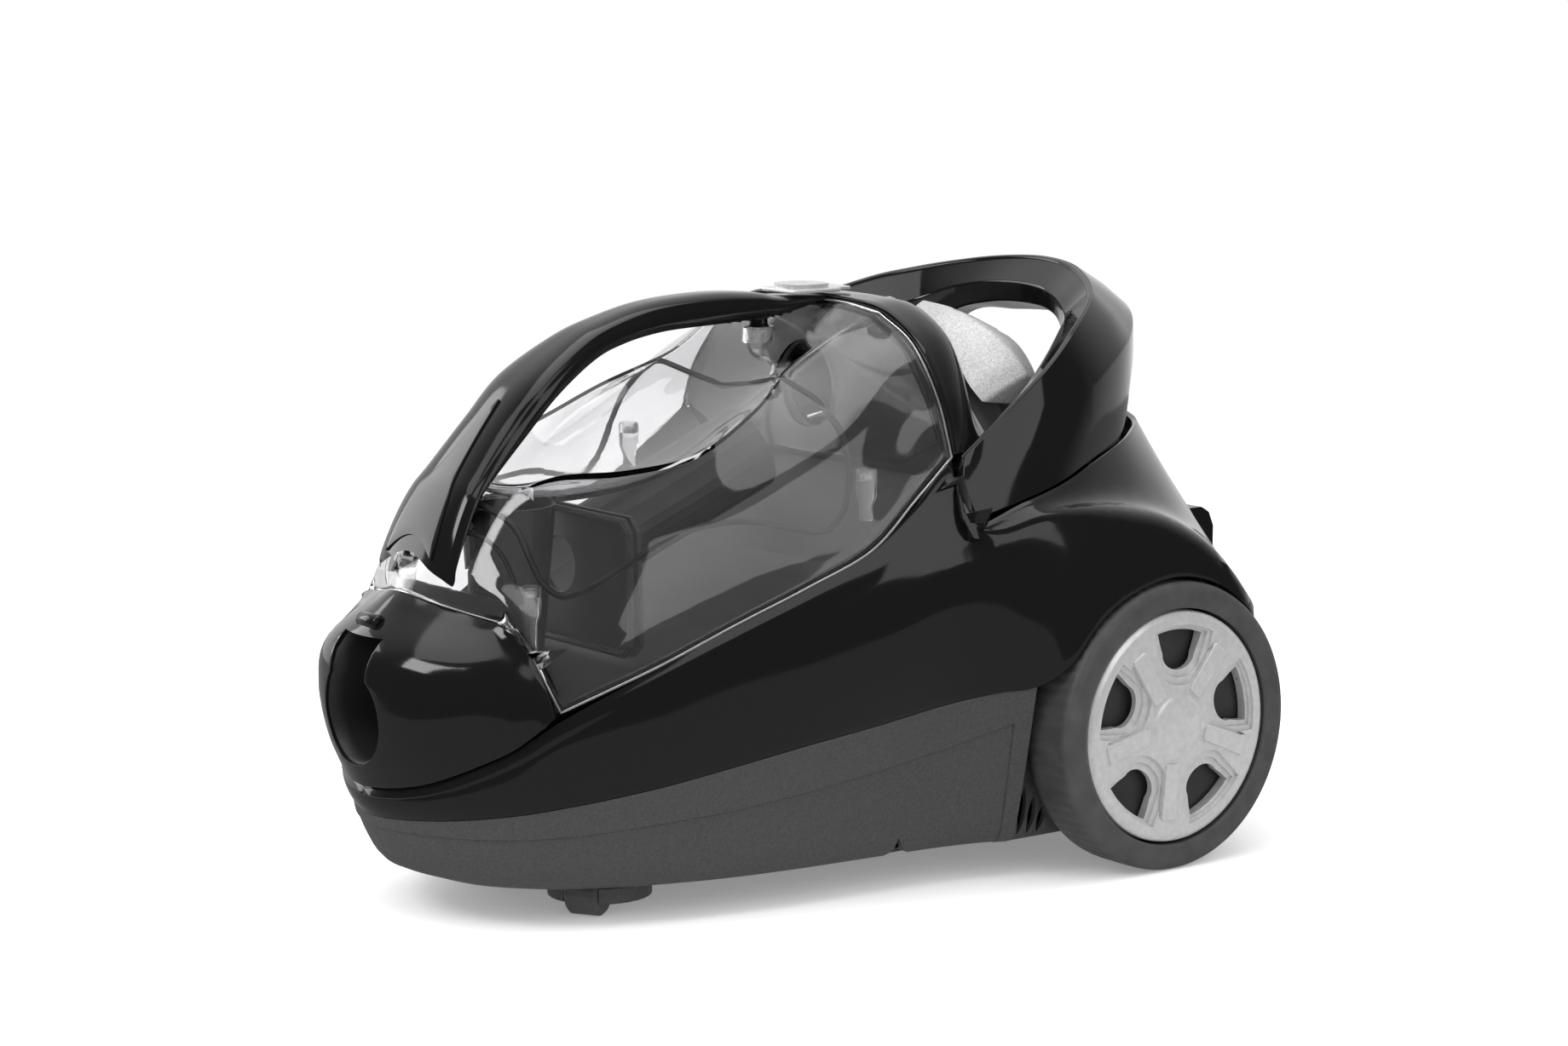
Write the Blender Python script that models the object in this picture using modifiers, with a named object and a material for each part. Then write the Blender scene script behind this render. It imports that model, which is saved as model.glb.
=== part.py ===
"""Canister vacuum cleaner with a lift-off cyclone bin, built as separate pieces.

Metres, +Z up.  The nose points to -Y, the driving wheels are at +Y.
Origin: centre of the footprint, on the floor.
"""
import math

import bmesh
import bpy
import numpy as np
from mathutils import Matrix, Vector

# ---------------------------------------------------------------- driving dimensions
MM = 0.001
LENGTH = 0.4705
WIDTH = 0.290
FRONT_Y = -LENGTH / 2
REAR_Y = LENGTH / 2

WHEEL_R = 0.068
WHEEL_W = 0.030
AXLE_Y = 0.1225
AXLE_R = 0.006
TYRE_SIDE_X = WIDTH / 2 - 0.001
RIM_R = 0.0555

FLOOR_GAP = 0.017
SHELL_T = 0.0025
WELL_X = 0.1085
WELL_FRONT_Y = 0.0505
WELL_REAR_Y = 0.1945

CASTER_X = 0.0395
CASTER_Y = -0.1303
CASTER_R = 0.0105
CASTER_W = 0.016
CASTER_TRAIL = 0.0135
CASTER_TURN = math.radians(34)
CASTER_CUP_R = 0.028

INLET_Z = 0.094
INLET_R = 0.0225

BIN_TRAY_Y = (-172.0, 17.0)

PIN_X = 0.048
PIN_Y = 0.078
PIN_R = 0.003

CORD_X = -0.053
CORD_Z = 0.052
CORD_HOLE_R = 0.0045
CORD_BUSH_R = 0.0080

MOTOR_X = 0.044
MOTOR_Z = 0.083
MOTOR_R = 0.050
REEL_X = -0.052
REEL_Y = 0.112
REEL_Z = 0.094
REEL_R = 0.058

# Half of the hull, one column per station from the nose to the tail (mm).
# Each column: floor edge, knuckle, side and seam of the lower shell.
LOWER_STATIONS = (
    ((0, -196, 17), (0, -213, 24), (0, -221, 37), (0, -224, 48)),
    ((30, -190, 17), (33, -202, 23), (34, -211, 38), (34.5, -214, 50)),
    ((53, -172, 17), (58, -182, 23), (61, -190, 38), (62, -193, 54)),
    ((68, -150, 17), (73, -158, 23), (76, -164, 38), (77, -167, 58)),
    ((79, -122, 17), (84, -127, 23), (87, -130, 40), (88, -132, 63)),
    ((87, -92, 17), (92, -94, 23), (94, -95, 43), (95.5, -97, 69)),
    ((92, -58, 17), (97, -59, 23), (99, -60, 47), (101, -61, 75)),
    ((95, -22, 17), (100, -22, 23), (102, -23, 50), (104.5, -24, 80)),
    ((98, 14, 17), (103, 13, 23), (105.5, 12, 53), (109, 12, 86)),
    ((102, 36, 17), (108, 35, 23), (113, 34, 55), (117, 33, 89.2)),
)
# Walls round the wheel, then the tail, in the same order of rows.
LOWER_FLARE = ((107, 50, 17), (113, 50, 23), (120, 50, 55), (125.0, 49, 91.4))
LOWER_TAIL = (
    ((106, 197, 17), (107, 198, 23), (107.5, 198, 55), (107, 197.5, 91.5)),
    ((80, 205, 17), (84, 209, 23), (86, 212, 55), (87, 212, 92.2)),
    ((45, 209, 17), (46, 215, 23), (47, 219, 55), (47.5, 219.5, 92.6)),
    ((0, 210, 17), (0, 217, 23), (0, 221, 55), (0, 222.3, 92.8)),
)

# Columns of the upper shell: seam edge, belt, crest, valley and upper edge.
UPPER_STATIONS = (
    ((0, -224.5, 48.4), (0, -226.5, 52), (0, -227.5, 56), (0, -227.5, 59), (0, -226.5, 62)),
    ((34.5, -214.5, 50.4), (35, -217, 55), (35.5, -218, 59), (35.5, -217.5, 63), (35, -216.5, 67)),
    ((62, -193.5, 54.4), (63.5, -196, 61), (64.5, -197, 68), (64.5, -197, 75), (64, -196, 81)),
    ((77, -167.5, 58.4), (79, -170, 68), (80, -172, 78), (80.5, -173.5, 88), (80, -174, 98)),
    ((88, -132, 63.4), (91, -132, 77), (93, -132, 91), (93.5, -132, 105), (92, -132, 118)),
    ((95.5, -97, 69.4), (99, -97, 85), (101, -97, 101), (101.5, -97, 118), (99.5, -97, 133)),
    ((101, -61, 75.4), (105, -61, 93), (107.5, -61, 111), (107.5, -61, 130), (105, -61, 147)),
    ((104.5, -24, 80.4), (110, -26, 100), (113, -28, 122), (112, -29, 142), (108, -30, 160)),
    ((109, 12, 86.4), (116, 6, 112), (119, 2, 140), (114, -2, 161), (107, -4, 179)),
    ((118, 33, 90.4), (124, 26, 118), (124.5, 18, 152), (117, 17, 171), (105.5, 16, 195)),
)
FENDER_STATIONS = (
    ((129, 50, 93.4), (131, 41, 125), (129, 31, 160), (124, 24, 165), (119, 13, 167.5)),
    ((138.5, 62.5, 104.5), (137, 58, 140), (131.5, 52, 168.5), (126, 50, 172.5), (121, 46, 175.8)),
    ((140, 81, 124.5), (138.5, 78, 148), (133, 75, 171), (124, 74, 175), (118, 72, 183)),
    ((140.5, 103, 135), (139, 102, 151), (134, 101, 168.5), (118, 102, 175), (110, 100, 191)),
    ((140.5, 126, 138), (139.5, 126, 149), (135, 126, 162.5), (112, 129, 171), (98, 127, 197)),
    ((140.5, 150, 132), (139.5, 151, 139), (136, 150, 148.5), (104, 154, 164), (82, 148, 200)),
    ((138.5, 173, 116), (138, 173, 121), (133, 171, 129), (93, 177, 154), (62, 167, 201)),
    ((110, 198, 101.5), (111, 198, 109), (105, 195, 120), (75, 196, 149), (38, 180, 202)),
    ((60, 217.5, 94.4), (61, 219, 105), (60, 217, 124), (44, 207, 150), (18, 187, 202)),
    ((0, 222.9, 94.0), (0, 225, 105), (0, 223, 126), (0, 212, 152), (0, 189, 202)),
)

# Nose cover: rows from its lower edge up, columns from the middle to the side.
NOSE_ROWS = (
    ((0, -227, 63), (34.5, -217, 68), (62.5, -197, 82), (73, -187, 91), (80, -179, 99.5)),
    ((0, -233, 78), (34, -224, 81), (62, -204, 93), (72.5, -191, 100), (78, -180.5, 106)),
    ((0, -237.5, 99), (33, -230, 101), (60, -209, 106), (70, -194, 110), (74.5, -182, 113)),
    ((0, -233.5, 122), (31, -225, 121), (54, -208, 120), (63.5, -197, 121), (69, -184, 122)),
    ((0, -208, 144.6), (20, -203, 141), (40, -195.5, 138), (52, -191.4, 136.2), (62.6, -188.4, 133.8)),
)

# Clear bin cover: columns from the nose to the rear; rows rim, wall, crease,
# scoop edge, scoop wall and scoop middle.
BIN_STATIONS = (
    ((62, -186, 136), (50, -190, 137.6), (37, -195, 139.4),
     (22, -201, 142), (11, -205, 144.4), (0, -206.6, 145.6)),
    ((70, -180.6, 118.3), (63, -186, 136), (52, -188, 149), (33, -194, 156), (16, -197, 160), (0, -198, 162)),
    ((79, -175.6, 100.8), (77, -174, 121), (68, -170, 144), (42, -173, 184), (22, -177, 190), (0, -178, 192)),
    ((86, -155, 109.5), (83, -153, 130), (76.5, -153, 152),
     (58, -158, 200.5), (30, -164, 192), (0, -165, 190)),
    ((92, -131, 119), (89, -129, 141), (82.5, -128, 164), (68, -130, 199.5), (38, -134, 186), (0, -136, 182)),
    ((99, -96, 134), (95.5, -96, 156), (87.5, -95, 179), (68.5, -96, 205.5), (38, -96, 194), (0, -96, 191)),
    ((104.5, -60, 148), (99.5, -60, 173), (89.5, -60, 199), (62, -60, 222), (34, -60, 212), (0, -60, 209)),
    ((107.5, -29, 161), (101, -29, 190), (87.5, -28, 219), (47, -30, 237), (26, -30, 232), (0, -30, 230)),
    ((106.5, -4, 181.2), (97, -4, 209), (81, -3, 236), (50, -4, 251), (27, -4, 252), (0, -4, 252)),
    ((104, 18.5, 198.4), (93.5, 18.5, 224), (75, 18.5, 247),
     (50, 18.5, 259.5), (27, 18.5, 262), (0, 18.5, 262.5)),
)

# Crown behind the bin: columns from the rim to the middle; rows front edge,
# band, pedal shelf, shelf rear and deck front.
DOME_STATIONS = (
    ((103, 19.5, 199), (101, 28, 199.5), (98, 44, 199.5), (83, 78, 198), (72, 94, 197), (84, 110, 193.5)),
    ((93.5, 19.5, 224), (92.5, 33, 222), (88, 48, 203), (78, 86, 201), (62, 99, 199), (80, 126, 194)),
    ((75, 19.5, 247), (74.5, 39, 245), (71, 50.5, 216), (64, 91, 208), (52, 103, 202), (70, 147, 197)),
    ((50, 19.5, 259.5), (50, 42, 257.5), (49, 54, 234.5), (44, 95, 219), (37, 107, 204), (52, 163, 199.5)),
    ((27, 19.5, 262), (27, 44, 260), (27, 57, 241), (24, 98, 224), (19, 110, 205), (28, 178, 201)),
    ((0, 19.5, 262.5), (0, 45, 260.5), (0, 59, 244), (0, 98, 225), (0, 111, 205), (0, 185, 201.5)),
)

# Pedal on the crown: one row per section outward; front foot, ridge, rear top, rear foot.
PEDAL_STATIONS = (
    ((12, 62, 251), (12, 74.5, 259.5), (12, 98, 250), (12, 101, 236)),
    ((35, 61, 248), (35, 75.5, 257), (35, 98, 247.5), (35, 100, 234)),
    ((56, 57, 238), (56, 78, 249.5), (56, 97, 241), (56, 98, 228)),
    ((71, 54, 226), (70, 82, 239), (70, 95, 231), (70, 95, 219)),
    ((80, 56, 217.5), (79, 84, 229), (78, 91, 224), (78, 90, 213)),
)

# Rear hoop: columns from its front end to the middle of the rear bar; each is a
# section: ridge, inner top, inner bottom, outer bottom.
HOOP_STATIONS = (
    ((106.5, 35, 203.5), (104, 35, 203), (104, 31, 188), (116.6, 27, 177), (112.6, 30, 190)),
    ((109.5, 48, 219), (104, 47, 215), (103, 48, 195), (119.5, 47, 178.8), (116, 48, 199)),
    ((109, 72, 237), (97, 69, 228), (96, 70, 203), (116.5, 72, 184), (116, 73, 213)),
    ((100, 95, 252), (83, 92, 239), (81, 93, 210), (108.5, 99, 192), (112, 98, 228)),
    ((84, 118, 262), (67, 113, 247), (66, 114, 216), (96, 126, 198), (100, 124, 240)),
    ((68, 132, 267), (56, 126, 252), (54, 127, 230), (79, 147, 216), (84, 144, 246)),
    ((50, 143.5, 271), (42, 134, 258), (41, 136, 246), (58, 163, 243), (62, 163, 253)),
    ((27, 154, 274.5), (23, 141, 262), (22, 143, 252), (31, 171, 246), (34, 177, 257)),
    ((0, 158, 276), (0, 143, 263.5), (0, 145, 253.5), (0, 174, 247), (0, 182, 258)),
)

# Carrying handle on the bin, one row per section from the foot to the rear:
# y and z of its top line, half width, thickness, how far its edges curve down.
HANDLE_STATIONS = (
    (-205, 160, 31, 3.5, 5), (-198.5, 177.5, 29, 4.5, 5.5), (-191, 191, 26.8, 5, 5.5),
    (-182.4, 201, 24.5, 6.5, 5), (-164.7, 220.6, 22, 10, 4), (-145.8, 238.6, 21.6, 10.6, 3),
    (-120.5, 253.8, 16.7, 10.8, 2.2), (-100.7, 261.2, 14, 11.2, 2), (-76, 267, 13, 12.4, 2),
    (-45, 269.2, 13, 12.8, 2), (-20, 268, 13, 9, 1.5), (-6, 265.6, 13, 5.5, 1), (18, 264.6, 12, 1.8, 0.2),
)

NAME = "canister_vacuum"
COLOURS = {
    "gloss_black": ((0.012, 0.012, 0.013), 0.12, 0.0),
    "matte_grey": ((0.075, 0.075, 0.077), 0.62, 0.0),
    "silver": ((0.62, 0.62, 0.62), 0.32, 0.7),
    "smoke_clear": ((0.30, 0.30, 0.31), 0.05, 0.0),
    "tyre_rubber": ((0.045, 0.045, 0.046), 0.75, 0.0),
    "seal_rubber": ((0.02, 0.02, 0.02), 0.80, 0.0),
    "steel": ((0.55, 0.56, 0.57), 0.35, 1.0),
    "copper": ((0.55, 0.27, 0.13), 0.40, 1.0),
    "foam": ((0.55, 0.55, 0.52), 0.95, 0.0),
    "white_filter": ((0.78, 0.78, 0.75), 0.90, 0.0),
    "inner_grey": ((0.16, 0.16, 0.165), 0.55, 0.0),
    "board_green": ((0.03, 0.16, 0.07), 0.50, 0.0),
}


# ---------------------------------------------------------------- scene and materials
def clear_scene():
    for obj in list(bpy.data.objects):
        bpy.data.objects.remove(obj, do_unlink=True)


def new_collection(name):
    collection = bpy.data.collections.new(name)
    bpy.context.scene.collection.children.link(collection)
    return collection


clear_scene()
PARTS = new_collection(NAME)
CUTTERS = new_collection("cutters")


def material(name, finish):
    colour, roughness, metallic = COLOURS[finish]
    mat = bpy.data.materials.new(name)
    mat.use_nodes = True
    shader = mat.node_tree.nodes["Principled BSDF"]
    shader.inputs["Base Color"].default_value = (*colour, 1.0)
    shader.inputs["Roughness"].default_value = roughness
    shader.inputs["Metallic"].default_value = metallic
    if finish == "smoke_clear":
        shader.inputs["Transmission Weight"].default_value = 0.9
    return mat


def place(obj, finish=None, parent=None):
    """Put an object in its collection; with no finish it is a hidden cutter."""
    for collection in list(obj.users_collection):
        collection.objects.unlink(obj)
    if finish is None:
        CUTTERS.objects.link(obj)
        obj.hide_render = True
        obj.display_type = "WIRE"
    else:
        PARTS.objects.link(obj)
        obj.data.materials.clear()
        obj.data.materials.append(material(obj.name, finish))
    if parent:
        obj.parent = parent
    return obj


def empty(name, location):
    pivot = bpy.data.objects.new(name, None)
    pivot.location = location
    PARTS.objects.link(pivot)
    return pivot


# ---------------------------------------------------------------- mesh helpers
def from_bmesh(name, bm, finish=None, parent=None):
    bmesh.ops.remove_doubles(bm, verts=bm.verts, dist=1e-6)
    mesh = bpy.data.meshes.new(name)
    bm.to_mesh(mesh)
    bm.free()
    obj = bpy.data.objects.new(name, mesh)
    return place(obj, finish, parent)


def aim(axis):
    """Rotation that turns local +Z onto the named axis."""
    return {"X": Matrix.Rotation(math.pi / 2, 4, "Y"),
            "Y": Matrix.Rotation(-math.pi / 2, 4, "X"),
            "Z": Matrix.Identity(4)}[axis]


def box(name, low, high, finish=None, bevel=0.0, parent=None):
    low = Vector(low)
    high = Vector(high)
    bm = bmesh.new()
    bmesh.ops.create_cube(bm, size=1.0)
    bmesh.ops.scale(bm, verts=bm.verts, vec=high - low)
    bmesh.ops.translate(bm, verts=bm.verts, vec=(low + high) / 2)
    obj = from_bmesh(name, bm, finish, parent)
    if bevel:
        add_bevel(obj, bevel)
    return obj


def add_bevel(obj, width, segments=2):
    mod = obj.modifiers.new("edges", "BEVEL")
    mod.width = width
    mod.segments = segments
    mod.limit_method = "ANGLE"


def cylinder(name, centre, radius, length, axis, finish=None, sides=32, parent=None):
    bm = bmesh.new()
    bmesh.ops.create_cone(bm, cap_ends=True, segments=sides, radius1=radius, radius2=radius, depth=length)
    bmesh.ops.transform(bm, verts=bm.verts, matrix=Matrix.Translation(Vector(centre)) @ aim(axis))
    return from_bmesh(name, bm, finish, parent)


def turned(name, profile, centre, axis, finish=None, sides=32, ring=False, parent=None, flip=False):
    """Turn a profile of (radius, height) points about an axis; a ring's profile closes on itself."""
    mesh = bpy.data.meshes.new(name)
    points = [(r, 0.0, -h if flip else h) for r, h in profile]
    if flip:
        points.reverse()
    edges = [(i, i + 1) for i in range(len(points) - 1)]
    if ring:
        edges.append((len(points) - 1, 0))
    mesh.from_pydata(points, edges, [])
    obj = bpy.data.objects.new(name, mesh)
    mod = obj.modifiers.new("turn", "SCREW")
    mod.steps = sides
    mod.render_steps = sides
    mod.use_merge_vertices = True
    mod.merge_threshold = 0.00001
    mod.use_smooth_shade = True
    obj.matrix_world = Matrix.Translation(Vector(centre)) @ aim(axis)
    return place(obj, finish, parent)


def tube(name, centre, outer, inner, length, axis, finish=None, sides=32, parent=None):
    half = length / 2
    profile = ((outer, half), (outer, -half), (inner, -half), (inner, half))
    return turned(name, profile, centre, axis, finish, sides, True, parent)


def boolean(obj, tool, operation="DIFFERENCE"):
    mod = obj.modifiers.new(operation.lower(), "BOOLEAN")
    mod.operation = operation
    mod.object = tool
    mod.solver = "EXACT"
    return obj


def cut(obj, *tools):
    for tool in tools:
        boolean(obj, tool)
    return obj


def join(obj, *tools):
    for tool in tools:
        boolean(obj, tool, "UNION")
    return obj


# ---------------------------------------------------------------- curves through stations
def catmull(p0, p1, p2, p3, t):
    """Point at t between p1 and p2 on a smooth curve through four points."""
    a = 2 * p1
    b = p2 - p0
    c = 2 * p0 - 5 * p1 + 4 * p2 - p3
    d = 3 * p1 - p0 - 3 * p2 + p3
    return (a + b * t + c * t * t + d * t ** 3) / 2


def smooth(points, steps, start="free", end="free"):
    """Smooth row of points through the given ones, along axis 0.

    An end is free or a mirror: there the row leaves the X = 0 plane squarely.
    """
    pts = np.asarray(points, dtype=float)
    flip = np.ones(pts.shape[-1])
    flip[0] = -1
    first = pts[1] * flip if start == "mirror" else 2 * pts[0] - pts[1]
    last = pts[-2] * flip if end == "mirror" else 2 * pts[-1] - pts[-2]
    padded = np.concatenate([[first], pts, [last]])
    rows = []
    for i in range(1, len(padded) - 2):
        for k in range(steps):
            rows.append(catmull(*padded[i - 1:i + 3], k / steps))
    rows.append(pts[-1])
    return np.array(rows)


def sheet(bm, grid, flip=False):
    """Quads over a grid of points in millimetres."""
    verts = [[bm.verts.new(Vector(p) * MM) for p in row] for row in grid]
    for i in range(len(verts) - 1):
        for j in range(len(verts[0]) - 1):
            quad = [verts[i][j], verts[i][j + 1], verts[i + 1][j + 1], verts[i + 1][j]]
            if flip:
                quad.reverse()
            bm.faces.new(quad)
    return verts


def mirrored(obj):
    mod = obj.modifiers.new("other_side", "MIRROR")
    mod.merge_threshold = 0.00001
    return obj


def shell(name, grids, thickness, finish, flip=False, parent=None):
    """Thin wall inward from the open half surface given by its grids, mirrored across X = 0."""
    bm = bmesh.new()
    for grid in grids:
        sheet(bm, grid, flip)
    bmesh.ops.remove_doubles(bm, verts=bm.verts, dist=1e-6)
    bmesh.ops.dissolve_degenerate(bm, edges=bm.edges, dist=1e-6)
    obj = mirrored(from_bmesh(name, bm, finish, parent))
    mod = obj.modifiers.new("wall", "SOLIDIFY")
    mod.thickness = thickness
    mod.offset = -1.0
    mod.use_even_offset = True
    return obj


def keel_row(row):
    """The floor's middle line under a row of floor points."""
    keel = row.copy()
    keel[:, 0] = 0
    return keel


# ---------------------------------------------------------------- hull
def hull_grid(columns, steps, row_steps):
    """Grid of points: along the hull (axis 0) and up the columns (axis 1)."""
    along = smooth(np.array(columns, dtype=float), steps, "mirror", "mirror")
    across = smooth(along.transpose(1, 0, 2), row_steps)
    return across.transpose(1, 0, 2)


def lower_columns():
    """Front, flare, wheel wall and tail columns of the lower shell; the wheel wall rises to the fender."""
    front = smooth(np.array(LOWER_STATIONS, dtype=float), 2, "mirror", "free")
    flare = np.array([LOWER_FLARE], dtype=float)
    walls = []
    for y, top in ((WELL_FRONT_Y, 132), (0.075, 146), (0.122, 146), (0.165, 132), (WELL_REAR_Y, 92)):
        x = WELL_X / MM
        walls.append([(x - 2, y / MM, 17), (x, y / MM, 23), (x, y / MM, 55), (x, y / MM, top)])
    tail = smooth(np.array(LOWER_TAIL, dtype=float), 2, "free", "mirror")
    return np.concatenate([front, flare, np.array(walls, dtype=float), tail])


def lower_shell():
    columns = lower_columns()
    keel = keel_row(columns[:, 0])
    grid = np.concatenate([keel[:, None], columns], axis=1)
    obj = shell("lower_shell", [grid], SHELL_T, "matte_grey", flip=True)
    for side in (-1, 1):
        over_caster = (side * CASTER_X, CASTER_Y, FLOOR_GAP)
        cut(obj, cylinder(f"caster_hole_{side}", over_caster, CASTER_CUP_R + 0.0006, 0.02, "Z"))
        cut(obj, cylinder(f"axle_hole_{side}", (side * WELL_X, AXLE_Y, WHEEL_R), AXLE_R + 0.0010, 0.02, "X"))
    cut(obj, cylinder("cord_hole", (CORD_X, 0.215, CORD_Z), CORD_BUSH_R + 0.0006, 0.03, "Y", sides=24))
    return obj


def upper_shell():
    grid = hull_grid(UPPER_STATIONS + FENDER_STATIONS, 2, 1)
    obj = shell("upper_shell", [grid], SHELL_T, "gloss_black", flip=True)
    cut(obj, box("exhaust_window", (-0.040, 0.195, 0.096), (0.040, 0.240, 0.142)))
    return obj


def nose_cover():
    rows = np.array(NOSE_ROWS, dtype=float)
    grid = smooth(rows, 2)
    grid = smooth(grid.transpose(1, 0, 2), 2, "mirror", "free")
    obj = shell("nose_cover", [grid], SHELL_T, "gloss_black", flip=True)
    cut(obj, cylinder("inlet_round", (0, FRONT_Y, INLET_Z), INLET_R, 0.04, "Y", sides=36))
    cut(obj, box("inlet_slot", (-0.0150, FRONT_Y - 0.01, INLET_Z), (0.0150, FRONT_Y + 0.025, 0.129)))
    return obj


def bin_cover(parent):
    columns = np.array(BIN_STATIONS, dtype=float)
    along = smooth(columns, 2)
    grid = smooth(along.transpose(1, 0, 2), 2, "free", "mirror").transpose(1, 0, 2)
    obj = shell("bin_cover", [grid], 0.0022, "smoke_clear", flip=True)
    obj.parent = parent
    return obj


def rear_dome():
    columns = np.array(DOME_STATIONS, dtype=float)
    along = smooth(columns, 2, "free", "mirror")
    grid = smooth(along.transpose(1, 0, 2), 2).transpose(1, 0, 2)
    return shell("rear_dome", [grid], SHELL_T, "gloss_black", flip=True)


def rear_hoop():
    columns = smooth(np.array(HOOP_STATIONS, dtype=float), 2, "free", "mirror")
    bm = bmesh.new()
    closed = np.concatenate([columns, columns[:, :1]], axis=1)
    sheet(bm, closed)
    bmesh.ops.remove_doubles(bm, verts=bm.verts, dist=1e-6)
    front = [v for v in bm.verts if min((v.co - Vector(p) * MM).length for p in HOOP_STATIONS[0]) < 1e-6]
    bmesh.ops.contextual_create(bm, geom=front)
    bmesh.ops.recalc_face_normals(bm, faces=bm.faces)
    obj = from_bmesh("rear_hoop", bm, "gloss_black")
    return mirrored(obj)


# ---------------------------------------------------------------- bin (lifts off)
def carry_handle(parent):
    """Arched grip: sections square to its spine, skinned from the foot to the latch end."""
    rows = smooth(np.array(HANDLE_STATIONS, dtype=float), 2)
    outline = ((0, 0, 0), (0.62, 0.25, 0.06), (0.93, 0.75, 0.28), (1, 1, 0.55), (0.90, 1, 0.9),
               (0.5, 0.4, 1.0), (0, 0, 1.0))
    sections = []
    for i, (y, z, width, thick, sag) in enumerate(rows):
        before = rows[max(i - 1, 0)]
        after = rows[min(i + 1, len(rows) - 1)]
        run = np.hypot(after[0] - before[0], after[1] - before[1])
        up = (-(after[1] - before[1]) / run, (after[0] - before[0]) / run)
        section = []
        for across, curve, depth in outline:
            drop = curve * sag + depth * thick
            section.append((across * width, y - up[0] * drop, z - up[1] * drop))
        sections.append(section)
    bm = bmesh.new()
    verts = sheet(bm, sections)
    for row in (verts[0], verts[-1]):
        bm.faces.new(row if row is verts[-1] else row[::-1])
    bmesh.ops.triangulate(bm, faces=[f for f in bm.faces if len(f.verts) > 4])
    bmesh.ops.recalc_face_normals(bm, faces=bm.faces)
    return mirrored(from_bmesh("carry_handle", bm, "gloss_black", parent))


def bin_tray(parent):
    """Dark floor of the bin: a dished sheet just inside the rim."""
    rim = np.array([column[0] for column in BIN_STATIONS[2:]], dtype=float)
    rim = smooth(rim, 2)
    inner = rim.copy()
    inner[:, 0] -= 4.0
    inner[:, 2] += 2.0
    low = inner.copy()
    low[:, 0] *= 0.80
    low[:, 2] -= 13.0
    middle = keel_row(low)
    for row in (inner, low, middle):
        row[:, 1] = np.clip(row[:, 1], BIN_TRAY_Y[0], BIN_TRAY_Y[1])
    grid = np.stack([inner, low, middle], axis=1)
    return shell("bin_tray", [grid], 0.002, "inner_grey", flip=True, parent=parent)


def bin_inlet_panel(parent):
    """Front wall of the bin, with the air inlet."""
    low = (-0.054, -0.1755, 0.0920)
    high = (0.054, -0.1735, 0.142)
    obj = box("bin_inlet_panel", low, high, "inner_grey", parent=parent)
    return cut(obj, cylinder("panel_hole", (0, -0.1745, INLET_Z + 0.004), 0.019, 0.01, "Y"))


def bin_rear_panel(parent):
    """Rear wall of the bin, with the air outlet."""
    outline = ((0, 258.5), (27, 258), (49, 255.5), (72.5, 243.5), (90, 221), (98, 204), (70, 192), (0, 191))
    obj = plate("bin_rear_panel", outline, 0.0145, 0.0165, "smoke_clear", parent)
    return cut(obj, cylinder("outlet_hole", (0, 0.0155, 0.222), 0.020, 0.01, "Y"))


def plate(name, outline, y0, y1, finish, parent=None):
    """Flat plate across the machine: the right half of its outline as (x, z) in mm, mirrored."""
    bm = bmesh.new()
    points = [Vector((x * MM, y0, z * MM)) for x, z in outline]
    points += [Vector((-p.x, p.y, p.z)) for p in reversed(points) if p.x > 0]
    face = bm.faces.new([bm.verts.new(p) for p in points])
    moved = bmesh.ops.extrude_face_region(bm, geom=[face])
    verts = [g for g in moved["geom"] if isinstance(g, bmesh.types.BMVert)]
    bmesh.ops.translate(bm, verts=verts, vec=(0, y1 - y0, 0))
    bmesh.ops.recalc_face_normals(bm, faces=bm.faces)
    return from_bmesh(name, bm, finish, parent)


def slanted(centre_low, centre_high):
    """Matrix that puts local +Z along the line between two points, at its middle."""
    low = Vector(centre_low)
    high = Vector(centre_high)
    turn = (high - low).to_track_quat("Z", "Y").to_matrix().to_4x4()
    return Matrix.Translation((low + high) / 2) @ turn


def bin_insides(parent):
    cone = ((0.0215, 0.036), (0.015, -0.036), (0.0135, -0.036), (0.020, 0.036))
    turned("cyclone_cone", cone, (0, -0.1515, 0.1435), "Z", "inner_grey", 28, True, parent)
    drum = tube("mesh_filter", (0, 0, 0), 0.019, 0.0165, 0.095, "Z", "foam", 28, parent)
    drum.matrix_world = slanted((0, -0.108, 0.156), (0, -0.018, 0.194))
    outline = ((0, 178), (56, 178), (62, 172), (64, 122), (58, 116), (0, 116))
    cut(plate("separator_plate", outline, -0.1245, -0.1225, "inner_grey", parent),
        cylinder("separator_hole", (0, -0.1235, 0.150), 0.013, 0.01, "Y"))
    loop = [(x, -0.1275, z) for x, z in ((-0.056, 0.117), (0.056, 0.117), (0.061, 0.122), (0.061, 0.171),
                                          (0.056, 0.176), (-0.056, 0.176), (-0.061, 0.171), (-0.061, 0.122))]
    wire("bin_seal", loop, 0.0018, "seal_rubber", closed=True, parent=parent)
    cylinder("handle_post", (0, -0.013, 0.2535), 0.0055, 0.0076, "Z", "gloss_black", 20, parent=parent)


def wire(name, points, radius, finish, closed=False, parent=None):
    curve = bpy.data.curves.new(name, "CURVE")
    curve.dimensions = "3D"
    curve.bevel_depth = radius
    curve.bevel_resolution = 1
    curve.use_fill_caps = not closed
    spline = curve.splines.new("POLY")
    spline.points.add(len(points) - 1)
    for point, place_at in zip(spline.points, points):
        point.co = (*place_at, 1)
    spline.use_cyclic_u = closed
    obj = bpy.data.objects.new(name, curve)
    return place(obj, finish, parent)


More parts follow.
